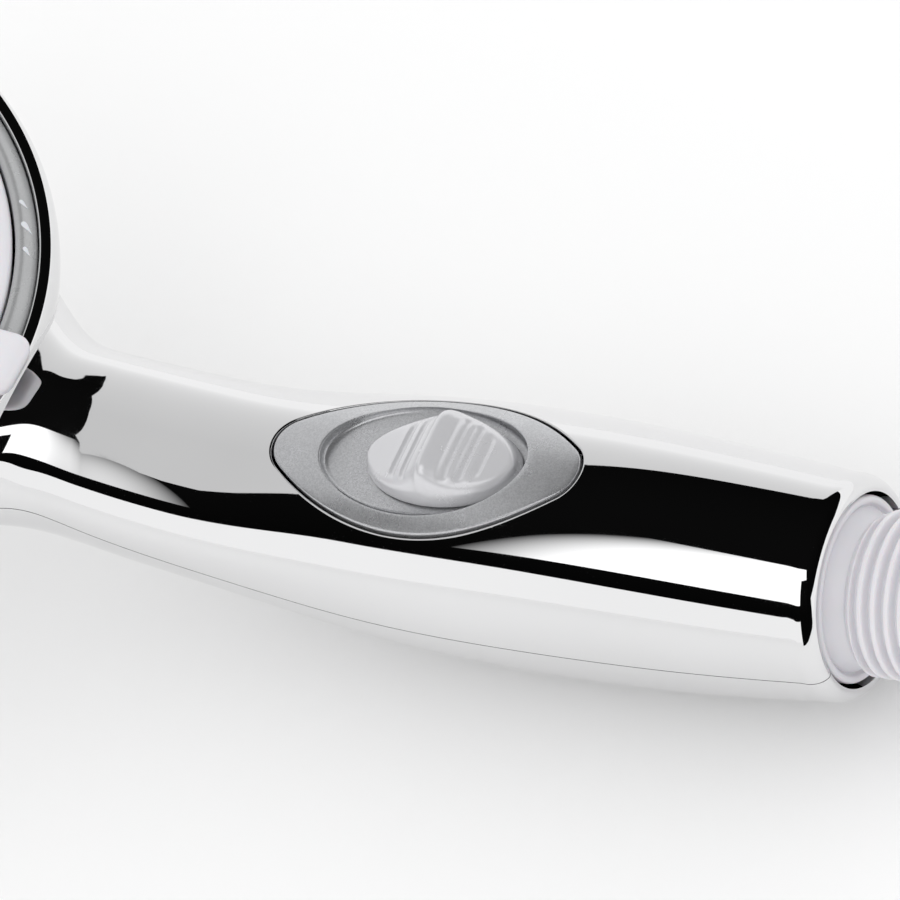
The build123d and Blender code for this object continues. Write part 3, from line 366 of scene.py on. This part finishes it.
KNOB_SIDE_LEAN, KNOB_SIDE_HEIGHT = 0.105, 3.5
KNOB_SMOOTH = 80           # degrees up to which its edges are shaded smooth
KNOB_ROWS, KNOB_COLUMNS = 280, 61
KNOB_FOOT = 17.1           # height that the top falls towards at the knob's two long sides
KNOB_FALL = 0.6
KNOB_ROUND = 0.6
EDGE_SCALE = 1.15          # brings the distance to the knob's edge to millimetres
FLAT_RIM, GROOVE_FADE = 0.9, 1.1     # no groove within this of the edge, and how it fades in
GROOVES = [(-5.3, 0.42), (-3.1, 0.42), (3.3, 0.42), (5.2, 0.42), (7.1, 0.32)]    # place, depth
GROOVE_HALF_WIDTH = 0.75
KNOB_LEFT = [(-12, 17.9), (-7, 18.2), (-3.4, 19.5), (-0.2, 21.9)]
KNOB_RIGHT = [(1.6, 21.9), (6.5, 19.4), (12, 18.2)]


def knob_height(x, across, edge):
    """Top of the knob; across runs from -1 to 1 over its width, edge is how far in a point is."""
    left = smooth_path(KNOB_LEFT, start=(1, 0), end=(0.55, 1), steps=30)
    right = smooth_path(KNOB_RIGHT, start=(1, -0.75), end=(1, -0.15), steps=30)
    turns = np.linspace(0, 1, 20)[1:-1, None]
    crest = (1 - turns) ** 2 * left[-1] + 2 * turns * (1 - turns) * np.array([0.5, 22.8])
    crest = crest + turns ** 2 * right[0]
    line = np.vstack([left, crest, right])
    height = np.interp(x, line[:, 0], line[:, 1])
    inside = np.clip((edge - FLAT_RIM) / GROOVE_FADE, 0, 1)
    fade = inside ** 2 * (3 - 2 * inside)
    for place, depth in GROOVES:
        reach = np.clip(1 - ((x - place) / GROOVE_HALF_WIDTH) ** 2, 0, 1)
        height = height - depth * reach ** 1.5 * fade
    height = KNOB_FOOT + (height - KNOB_FOOT) * (1 - KNOB_FALL * np.abs(across) ** 5)
    rim = np.clip(KNOB_ROUND - edge, 0, KNOB_ROUND)
    return height - KNOB_ROUND + np.sqrt(KNOB_ROUND ** 2 - rim ** 2)


def knob():
    """Slide knob: a ridge between two slopes, on an oval plan."""
    turns = np.linspace(0, pi, KNOB_ROWS + 1)
    drop = KNOB_SIDE_LEAN * KNOB_SIDE_HEIGHT
    half_length, half_width = KNOB_HALF_LENGTH - drop, KNOB_HALF_WIDTH - drop
    even = np.linspace(-1, 1, KNOB_COLUMNS)
    across = 0.35 * even + 0.65 * np.sin(np.linspace(-pi / 2, pi / 2, KNOB_COLUMNS))
    points, rows = [], []
    for i, turn in enumerate(turns):
        x = -half_length * cos(turn)
        end = i in (0, KNOB_ROWS)
        share = np.zeros(1) if end else across
        y = half_width * sin(turn) * share
        inside = 1 - np.sqrt((x / half_length) ** 2 + (y / half_width) ** 2)
        edge = np.maximum(inside, 0) * half_width * EDGE_SCALE
        height = knob_height(np.full(len(y), x), share, edge)
        rows.append(list(range(len(points), len(points) + len(y))))
        points += [(KNOB_X + x, float(b), float(h)) for b, h in zip(y, height)]
    faces = []
    for first, second in zip(rows[:-1], rows[1:]):
        if len(first) == 1:
            faces += [(first[0], second[j], second[j + 1]) for j in range(len(second) - 1)]
        elif len(second) == 1:
            faces += [(first[j], second[0], first[j + 1]) for j in range(len(first) - 1)]
        else:
            faces += [
                (first[j], second[j], second[j + 1], first[j + 1])
                for j in range(len(first) - 1)
            ]
    edge_loop = [row[-1] for row in rows] + [row[0] for row in rows[-2:0:-1]]
    top = np.array(points)
    loop = edge_loop       # the side goes down from here
    for level in (0.33, 0.66, 0.94, 1.0):
        grow = level * (1 - 0.08 * (level == 1.0))
        ring_points = []
        for index in edge_loop:
            x, y, z = top[index]
            out = np.array([(x - KNOB_X) / half_length, y / half_width])
            spot = out * (np.array([half_length, half_width]) + drop * grow)
            ring_points.append((KNOB_X + spot[0], spot[1], z + (KNOB_BOTTOM - z) * level))
        start = len(points)
        points += ring_points
        new = list(range(start, start + len(loop)))
        for j in range(len(loop)):
            k = (j + 1) % len(loop)
            faces.append((loop[j], loop[k], new[k], new[j]))
        loop = new
    faces.append(tuple(loop))
    return mesh_of("knob", points, faces)


# ---- Hose nipple -----------------------------------------------------------------------------
THREAD_PITCH, THREAD_ROOT, THREAD_CREST = 25.4 / 14, 9.3155, 10.4475
THREAD_START = -11.4
NIPPLE_STEP, NIPPLE_AROUND = 0.09, 144
NIPPLE_BACK = [    # x, radius, from the bore round the tail to the flange
    (-34.0, 4.6), (-34.0, 6.6), (-33.2, 7.4), (-28.6, 7.4), (-28.6, 5.4), (-26.4, 5.4),
    (-26.4, 7.4), (-20.0, 7.4), (-20.0, 9.6), (-16.5, 9.6), (-16.5, 11.48), (-16.2, 11.78),
    (-14.05, 11.78), (-13.82, 11.74), (-13.62, 11.60), (-13.52, 11.40), (-13.5, 11.15),
    (-13.54, 10.92), (-13.66, 10.74), (-13.9, 10.62), (-14.05, 10.5), (-14.08, 10.38),
]
NIPPLE_BORE = [(-0.6, 7.0), (-7.0, 7.0), (-7.0, 4.6)]


def nipple_rings():
    """The nipple, turned, with its thread wound round it."""
    turns = np.linspace(0, 2 * pi, NIPPLE_AROUND, endpoint=False)

    def turned(x, radius):
        radius = np.broadcast_to(radius, turns.shape)
        return np.column_stack(
            [np.full(NIPPLE_AROUND, x), radius * np.cos(turns), radius * np.sin(turns)]
        )

    rings = [turned(x, radius) for x, radius in NIPPLE_BACK]
    for x in np.arange(-13.95, -0.02, NIPPLE_STEP):
        phase = (x - THREAD_START) / THREAD_PITCH * 2 * pi - turns
        wave = 0.5 + 0.5 * np.cos(phase)
        wave = np.clip(1.25 * wave ** 0.9 - 0.1, 0, 1)
        wave = wave ** 2 * (3 - 2 * wave)
        start = np.clip((x - THREAD_START + 0.2) / 1.4, 0, 1)
        cone = 10.3 - 0.98 * np.clip((x + 13.95) / 2.4, 0, 1) ** 0.8
        threaded = THREAD_ROOT + (THREAD_CREST - THREAD_ROOT) * wave * start
        radius = np.maximum(threaded, np.where(x < THREAD_START + 1.0, cone, THREAD_ROOT))
        limit = THREAD_CREST - np.clip(x + 1.3, 0, 2) * 0.95
        rings.append(turned(x, np.minimum(radius, limit)))
    rings += [turned(0, 8.9), turned(0, 7.3)] + [turned(x, r) for x, r in NIPPLE_BORE]
    return rings


# ---- Turned and lofted parts of the spray head ------------------------------------------------
RING_PROFILE = [    # radius, height over the ring plane
    (40.4, -5.2), (40.4, 0.86), (40.46, 1.02), (40.7, 1.24), (41.0, 1.4), (41.3, 1.46),
    (41.6, 1.38), (42.1, 1.05), (42.7, 0.62), (43.15, 0.28), (43.36, 0.1), (43.47, -0.1),
    (43.5, -0.3), (43.5, -3.2), (42.2, -3.2), (42.2, -5.2),
]
FACE_RIM = [
    (36.4, -5.6), (40.0, -5.6), (40.0, 0.45), (39.88, 0.72), (39.6, 0.95), (39.3, 1.08),
    (38.8, 1.12), (36.4, 1.1),
]
TURNED_POINTS = 360
RING_SLOPE = RING_PROFILE[1:14]      # the part of it that faces outward

DROPS = [(24.6, 1.0), (29.9, 1.35), (34.9, 1.0)]     # angle round the head, scale
DROP_RADIUS, DROP_LEAN = 41.75, radians(52)
DROP_OUTLINE = [(-0.34, 0.0), (-0.3, 0.2), (-0.12, 0.33), (0.12, 0.34), (0.4, 0.25),
                (0.8, 0.13), (1.2, 0.02)]     # along the drop, half its width
DROP_PROUD, DROP_MIDDLE = 0.09, 0.1
DROP_LEVELS = [(1.0, -0.25), (0.97, 0.7), (0.7, 1.0)]     # width, height as a share of proud


def drop_marks():
    """Three small drops on the mode ring's slope, the middle one larger."""
    line = np.array(DROP_OUTLINE)
    outer = np.vstack([line, (line * [1, -1])[-2:0:-1]])
    points, faces = [], []
    for angle, scale in DROPS:
        start = len(points)
        for share, rise in DROP_LEVELS:
            for along, aside in (outer - [DROP_MIDDLE, 0]) * share * scale + [DROP_MIDDLE, 0]:
                radius = DROP_RADIUS + along * cos(DROP_LEAN) + aside * sin(DROP_LEAN)
                turn = radians(angle) + (
                    aside * cos(DROP_LEAN) - along * sin(DROP_LEAN)
                ) / DROP_RADIUS
                height = np.interp(radius, *zip(*RING_SLOPE))
                points.append(
                    HEAD_CENTRE + HEAD_NORMAL * (height + rise * DROP_PROUD)
                    + radius * (cos(turn) * TO_NECK + sin(turn) * ACROSS)
                )
        count = len(outer)
        for level in (0, 1):
            for j in range(count):
                k = (j + 1) % count
                low = start + level * count
                faces.append((low + j, low + k, low + count + k, low + count + j))
        faces.append(tuple(range(start + 2 * count, start + 3 * count)))
        faces.append(tuple(range(start, start + count))[::-1])
    return mesh_of("drop.marks", points, faces)


LEVER_SECTIONS = [    # distance from the axis, half width, bottom, top
    (36.9, 4.3, 0.7, 1.5), (37.3, 4.6, 0.6, 1.75), (39.0, 4.7, 0.9, 2.7),
    (40.4, 4.7, 1.9, 3.4), (41.6, 4.7, 1.9, 4.0), (43.2, 4.7, 1.9, 4.6), (44.4, 4.6, 1.9, 4.85),
    (45.3, 4.2, 2.0, 4.7), (45.9, 3.5, 2.2, 4.3), (46.2, 2.6, 2.6, 3.8),
]
LEVER_ASIDE = -0.9         # mm that the tab sits off the head's middle plane


def lever():
    """The tab of the selector ring, rounded all over."""
    turns = np.linspace(0, 2 * pi, 64, endpoint=False)
    c, s = np.cos(turns), np.sin(turns)
    rings = []
    table = smooth_path(LEVER_SECTIONS, steps=6)
    for u, half_width, bottom, top in table:
        side = half_width * np.sign(c) * np.abs(c) ** 0.45
        middle, half = (bottom + top) / 2, (top - bottom) / 2
        rise = middle + half * np.sign(s) * np.abs(s) ** 0.55
        rings.append(
            HEAD_CENTRE + u * TO_NECK + (LEVER_ASIDE + side[:, None]) * ACROSS
            + rise[:, None] * HEAD_NORMAL
        )
    return stacked("lever", rings, closed=False, capped=True)


# ---- Making the pieces ---------------------------------------------------------------------------
PARTING = [    # x, z of the line where the two shells meet
    (5.0, 0.0), (-28.5, 0.1), (-53.5, 0.9), (-78.5, 1.7), (-103.5, 3.6), (-118.0, 7.0),
]
SEAM = 0.06                # half of the gap between the shells
SEAM_DEPTH = -11.0         # where the parting line meets the head, along its axis
SLAB_HALF_WIDTH = 70


def parting_slab():
    """Thin curved slab along the parting line, which cuts the body into its two shells."""
    turn = head_point(40.0, SEAM_DEPTH)[[0, 2]]
    line = smooth_path(PARTING + [tuple(turn)], start=(-1, 0), end=-TO_NECK[[0, 2]])
    line = np.vstack([line, head_point(-60.0, SEAM_DEPTH)[[0, 2]]])
    step = np.gradient(line, axis=0)
    normal = np.column_stack([step[:, 1], -step[:, 0]])
    normal /= np.linalg.norm(normal, axis=1, keepdims=True)
    corners = ((-1, 1), (1, 1), (1, -1), (-1, -1))
    rings = [
        [
            [(p + side * SEAM * n)[0], across * SLAB_HALF_WIDTH, (p + side * SEAM * n)[1]]
            for across, side in corners
        ]
        for p, n in zip(line, normal)
    ]
    return stacked("slab", np.array(rings), closed=False, capped=True)


mouth = [
    ring((x, 0, 0), (0, 0, 1), radius, radius)
    for x, radius in smooth_path(MOUTH, start=(-0.05, 1), end=(-1, 0.12), steps=8)
]
bore = [ring((x, 0, 0), (0, 0, 1), MOUTH_BORE, MOUTH_BORE) for x in (-5.0, -15.4)]
cup = np.vstack([
    smooth_path(CUP_BACK, start=(1, 0), end=(0, 1))[:-1],
    smooth_path(CUP_SIDE, start=(0, 1), end=(-1, 0)), [[0.05, 0.8]],
])
cavity = np.vstack([smooth_path(CUP_INSIDE, start=(1, 0), end=(0, 1), steps=8), CAVITY_NECK])
shells = stacked("shells", mouth + stem_rings(0), closed=False, capped=True)
opening = [at_height(almond(EDGE_GAP + LIP_ROUND), height) for height in (8.0, 40.0)]
tools = [
    ("UNION", "cup", turned_rings(cup, CUP_AROUND)),
    ("DIFFERENCE", "recess", turned_rings(RECESS, CUP_AROUND)),
    ("DIFFERENCE", "bore", bore + stem_rings(WALL)),
    ("DIFFERENCE", "cavity", turned_rings(cavity, CAVITY_AROUND)),
    ("DIFFERENCE", "opening", opening),
]
for operation, name, rings in tools:
    combine(shells, stacked(name, rings, closed=False, capped=True), operation)
combine(shells, parting_slab())
bpy.ops.object.select_all(action="DESELECT")
bpy.context.view_layer.objects.active = shells
shells.select_set(True)
bpy.ops.object.mode_set(mode="EDIT")
bpy.ops.mesh.separate(type="LOOSE")
bpy.ops.object.mode_set(mode="OBJECT")
halves = sorted(bpy.context.selected_objects, key=lambda piece: -len(piece.data.vertices))
for stray in halves[2:]:
    bpy.data.objects.remove(stray)
halves = sorted(halves[:2], key=lambda piece: max(vertex.co.z for vertex in piece.data.vertices))
for piece, node in zip(halves, ("back_shell", "front_shell")):
    piece.select_set(False)
    piece.name = node.replace("_", ".") + ".chrome"
    smooth(piece)
    stand_for(piece, "handle", "chrome_shell", node)

lip = stacked("opening.lip", lip_rings())
trim = stacked("switch.plate", trim_rings())
for piece, body, slot, replaced in (
    (lip, "handle", "chrome_shell", ("front_shell",)),
    (trim, "handle", "silver_trim", ("switch_trim",)),
    (knob(), "switch", "grey_plastic", ("slide_knob",)),
    (stacked("nipple", nipple_rings()), "handle", "white_plastic", ("inlet_nipple",)),
    (
        stacked("mode.ring", turned_rings(RING_PROFILE, TURNED_POINTS)),
        "handle", "silver_ring", ("mode_ring",),
    ),
    (
        stacked("selector.rim", turned_rings(FACE_RIM, TURNED_POINTS)),
        "spray_head", "white_plastic", ("selector_ring",),
    ),
    (drop_marks(), "handle", "white_plastic", ("drop_marks",)),
    (lever(), "spray_head", "white_plastic", ("selector_ring",)),
):
    smooth(piece, KNOB_SMOOTH if body == "switch" else SMOOTH_UNDER)
    stand_for(piece, body, slot, *replaced)


# ---- Node helpers ----------------------------------------------------------------------------
def new_material(name):
    """An empty material with its Principled shader."""
    material = bpy.data.materials.new(name)
    material.use_nodes = True
    tree = material.node_tree
    return material, tree, tree.nodes["Principled BSDF"]


def add(tree, kind, inputs=None, **values):
    """A node of that kind, with attributes set and its inputs given or linked."""
    node = tree.nodes.new(kind)
    for name, value in values.items():
        setattr(node, name, value)
    for name, value in (inputs or {}).items():
        if isinstance(value, bpy.types.NodeSocket):
            tree.links.new(value, node.inputs[name])
        else:
            node.inputs[name].default_value = value
    return node


def place(tree):
    """Position on the piece, in metres."""
    return add(tree, "ShaderNodeTexCoord").outputs["Object"]


def noise(tree, size, detail=3.0, roughness=0.5, stretch=(1, 1, 1)):
    """Noise between 0 and 1 whose features are about size metres across."""
    spot = place(tree)
    if stretch != (1, 1, 1):
        spot = add(tree, "ShaderNodeMapping", {"Vector": spot, "Scale": stretch}).outputs[0]
    return add(
        tree,
        "ShaderNodeTexNoise",
        {"Vector": spot, "Scale": 1 / size, "Detail": detail, "Roughness": roughness},
    ).outputs["Fac"]


def cells(tree, size):
    """Random value per small cell, for grain and flakes."""
    node = add(tree, "ShaderNodeTexVoronoi", {"Vector": place(tree), "Scale": 1 / size})
    return node.outputs["Color"]


def spread(tree, value, low, high, start=0.3, end=0.7):
    """value from start to end, mapped to low to high."""
    return add(
        tree,
        "ShaderNodeMapRange",
        {"Value": value, "From Min": start, "From Max": end, "To Min": low, "To Max": high},
    ).outputs["Result"]


def mix_colour(tree, factor, first, second):
    """first where factor is 0, second where it is 1."""
    node = add(tree, "ShaderNodeMix", {"Factor": factor}, data_type="RGBA")
    node.inputs[6].default_value = (*first, 1)
    node.inputs[7].default_value = (*second, 1)
    return node.outputs[2]


def bump(tree, height, distance, strength=1.0):
    """Normals of a surface that rises by up to distance, in metres."""
    return add(
        tree, "ShaderNodeBump", {"Height": height, "Distance": distance, "Strength": strength}
    ).outputs["Normal"]


def settings(tree, shader, colour=None, roughness=None, normal=None, **fixed):
    """Link what varies, and set what is the same all over on the shader itself."""
    for name, value in (("Base Color", colour), ("Roughness", roughness), ("Normal", normal)):
        if value is not None:
            tree.links.new(value, shader.inputs[name])
    for name, value in fixed.items():
        shader.inputs[name.replace("_", " ")].default_value = value


# ---- Materials -------------------------------------------------------------------------------
def chrome():
    """Mirror plate over moulded ABS: faint flow waves, handling haze and fine dust."""
    material, tree, shader = new_material("chrome")
    cloud = noise(tree, 0.03, 4)
    haze = noise(tree, 0.009, 6, 0.62)
    tint = mix_colour(tree, cloud, (0.74, 0.74, 0.745), (0.80, 0.80, 0.805))
    waves = bump(tree, noise(tree, 0.045, 1.5, 0.4), 0.00012, 0.5)
    settings(
        tree, shader, tint, spread(tree, haze, 0.012, 0.05, 0.35, 0.75), waves, Metallic=1.0
    )
    return material


def silver(name, first, second, metallic, grain):
    """Metallic coat with fine flakes that each tilt a little."""
    material, tree, shader = new_material(name)
    flakes = add(
        tree, "ShaderNodeSeparateColor", {"Color": cells(tree, grain)}
    ).outputs["Red"]
    mottle = noise(tree, 0.006, 4)
    tint = mix_colour(tree, flakes, first, second)
    settings(
        tree, shader, tint, spread(tree, mottle, 0.24, 0.34),
        bump(tree, flakes, grain * 0.1, 0.25), Metallic=metallic, Specular_IOR_Level=0.5,
    )
    return material


def plastic(name, first, second, smooth_to, rough_to, grain=0.00012, depth=0.000004, **fixed):
    """Moulded plastic: slow colour drift, fine texture, and a handled sheen that varies."""
    material, tree, shader = new_material(name)
    drift = noise(tree, 0.02, 3)
    polish = noise(tree, 0.005, 5, 0.6)
    texture = noise(tree, grain, 2, 0.7)
    settings(
        tree, shader, mix_colour(tree, drift, first, second),
        spread(tree, polish, smooth_to, rough_to), bump(tree, texture, depth), **fixed,
    )
    return material


def metal(name, colour, roughness, stretch):
    """Bright steel with drawn or turned lines."""
    material, tree, shader = new_material(name)
    lines = noise(tree, 0.0004, 4, 0.6, stretch)
    tint = mix_colour(tree, lines, colour, tuple(0.8 * c for c in colour))
    settings(
        tree, shader, tint, spread(tree, lines, roughness, roughness + 0.15),
        bump(tree, lines, 0.000006), Metallic=1.0,
    )
    return material


soft_light = {"Subsurface_Weight": 0.12, "Subsurface_Scale": 0.0012}
finishes = {
    "chrome_shell": chrome(),
    "silver_trim": silver("silver.coat", (0.47, 0.475, 0.49), (0.60, 0.605, 0.62), 0.75, 0.00016),
    "silver_ring": silver("silver.satin", (0.40, 0.405, 0.41), (0.45, 0.455, 0.46), 0.35, 0.00010),
    "white_plastic": plastic(
        "white.plastic", (0.69, 0.68, 0.715), (0.74, 0.73, 0.76), 0.28, 0.42, **soft_light
    ),
    "grey_plastic": plastic(    # a little metallic, as pearl plastic is
        "grey.plastic", (0.62, 0.62, 0.64), (0.66, 0.66, 0.68), 0.24, 0.28, Metallic=0.28
    ),
    "inner_plastic": plastic(
        "inner.plastic", (0.03, 0.03, 0.033), (0.05, 0.05, 0.054), 0.4, 0.6
    ),
    "spool_plastic": plastic("acetal", (0.72, 0.71, 0.66), (0.79, 0.78, 0.73), 0.3, 0.45),
    "green_plastic": plastic("green.plastic", (0.06, 0.25, 0.12), (0.08, 0.32, 0.16), 0.35, 0.5),
    "nozzle_rubber": plastic(
        "silicone", (0.55, 0.56, 0.6), (0.63, 0.64, 0.68), 0.45, 0.6, 0.0002, 0.00001, **soft_light
    ),
    "black_rubber": plastic(
        "nitrile", (0.012, 0.012, 0.013), (0.025, 0.025, 0.027), 0.4, 0.65, 0.00015, 0.00001
    ),
    "steel": metal("steel", (0.62, 0.61, 0.60), 0.22, (1, 1, 6)),
    "mesh_steel": metal("mesh.steel", (0.60, 0.60, 0.60), 0.28, (6, 1, 1)),
}
for part in frame["record"]["subparts"]:
    node = nodes[part["node"]]
    node.data.materials.clear()
    node.data.materials.append(finishes[part["material_slot"]])
for piece, slot in finished:
    piece.data.materials.clear()
    piece.data.materials.append(finishes[slot])


# ---- Floor, light and camera -----------------------------------------------------------------
FLOOR_SIZE, FLOOR_GAP = 6, 0.0002
bpy.ops.mesh.primitive_plane_add(size=FLOOR_SIZE, location=(-0.1, 0, cad_box[0][2] - FLOOR_GAP))
floor = bpy.context.object
floor.name = "floor"
ground, tree, shader = new_material("floor")
settings(
    tree, shader, mix_colour(tree, noise(tree, 0.3, 2), (0.90, 0.90, 0.90), (0.92, 0.92, 0.92)),
    Roughness=0.9, Specular_IOR_Level=0.1,
)
floor.data.materials.append(ground)

world = bpy.data.worlds.new("studio")
bpy.context.scene.world = world
world.use_nodes = True
world.node_tree.nodes["Background"].inputs["Color"].default_value = (1, 1, 1, 1)
world.node_tree.nodes["Background"].inputs["Strength"].default_value = 1.1

DARK_FROM = 20.5           # elevation in degrees over which the studio is dark
# Lengths here are metres.
DOME_RADIUS = 3.0
CARD_HEIGHT = 0.23
CARD = [    # corners in plan
    (0.5, 2.6), (0.045, 0.9), (-0.119, 0.311), (-0.144, 0.233), (-0.162, 0.165),
    (-0.178, 0.19), (-0.190, 0.22), (-0.204, 0.26), (-0.226, 0.305), (-0.245, 0.34),
    (-0.226, 0.285), (-0.210, 0.24), (-0.198, 0.20), (-0.182, 0.15), (-0.170, 0.115),
    (-0.164, 0.04), (-0.164, -0.065), (-0.174, -0.09), (-0.184, -0.125), (-0.196, -0.147),
    (-0.208, -0.156), (-0.240, -0.156), (-0.268, -0.13), (-0.300, -0.09), (-0.45, -0.02),
    (-1.2, 0.2), (-1.5, 2.6),
]
SOFTBOX = [(-0.36, 0.29), (0.35, 0.29), (0.35, 1.1), (-0.36, 1.1)]     # corners as x, z
SOFTBOX_Y = -0.40
FLAG = [(0.03, -0.30), (0.45, -0.26)]     # plan of a dark flag beyond the hose end


def glow(name, low_value, high_value, axis, start, end):
    """Emission that grows along one axis of the stage, between start and end in metres."""
    material = bpy.data.materials.new(name)
    material.use_nodes = True
    tree = material.node_tree
    tree.nodes.clear()
    split = add(tree, "ShaderNodeSeparateXYZ", {"Vector": place(tree)})
    value = spread(tree, split.outputs[axis], low_value, high_value, start, end)
    light = add(tree, "ShaderNodeEmission", {"Color": (1, 1, 1, 1), "Strength": value})
    output = add(tree, "ShaderNodeOutputMaterial")
    tree.links.new(light.outputs[0], output.inputs["Surface"])
    return material


def studio_piece(name, points, faces, material, lights_all):
    """A card, lamp or cloth of the studio; without lights_all only reflections show it."""
    shape = bpy.data.meshes.new(name)
    shape.from_pydata(points, [], faces)
    card = bpy.data.objects.new(name, shape)
    bpy.context.scene.collection.objects.link(card)
    shape.materials.append(material)
    card.visible_camera = card.visible_shadow = card.visible_transmission = False
    card.visible_diffuse = lights_all


def dark_dome():
    """Dark studio over the lights, as bands of a sphere."""
    points, faces, around = [], [], 72
    levels = [radians(e) for e in (DARK_FROM, 30, 40, 50, 60, 70, 80, 88)]
    for level in levels:
        for k in range(around):
            turn = 2 * pi * k / around
            points.append((
                -0.1 + DOME_RADIUS * cos(level) * cos(turn), DOME_RADIUS * cos(level) * sin(turn),
                DOME_RADIUS * sin(level),
            ))
    for i in range(len(levels) - 1):
        for k in range(around):
            j = (k + 1) % around
            low, high = i * around, (i + 1) * around
            faces.append((low + k, low + j, high + j, high + k))
    faces.append(tuple(range((len(levels) - 1) * around, len(levels) * around)))
    return points, faces


studio_piece("dark.studio", *dark_dome(), glow("darkness", 0.002, 0.004, 2, 1.0, 3.0), False)
studio_piece(
    "overhead.card", [(x, y, CARD_HEIGHT) for x, y in CARD], [tuple(range(len(CARD)))],
    glow("card.white", 0.70, 1.1, 1, 0.05, 1.0), False,
)
studio_piece(
    "edge.flag", [(x, y, z) for x, y in FLAG for z in (-0.016, 0.5)], [(0, 1, 3, 2)],
    glow("flag.dark", 0.002, 0.004, 2, 0.0, 1.0), False,
)
studio_piece(
    "softbox", [(x, SOFTBOX_Y, z) for x, z in SOFTBOX], [(0, 1, 2, 3)],
    glow("softbox.white", 0.05, 1.5, 0, -0.36, -0.25), True,
)
bpy.context.scene.view_settings.view_transform = "Standard"

camera_data = bpy.data.cameras.new("camera")
camera_data.sensor_width = 36
camera_data.lens = 157.98
camera_data.clip_start = 0.01
camera = bpy.data.objects.new("camera", camera_data)
camera.location = (0.202727, -0.225226, 0.378089)
camera.rotation_euler = (radians(39.3358), radians(22.3957), radians(25.0399))
bpy.context.scene.collection.objects.link(camera)
bpy.context.scene.camera = camera
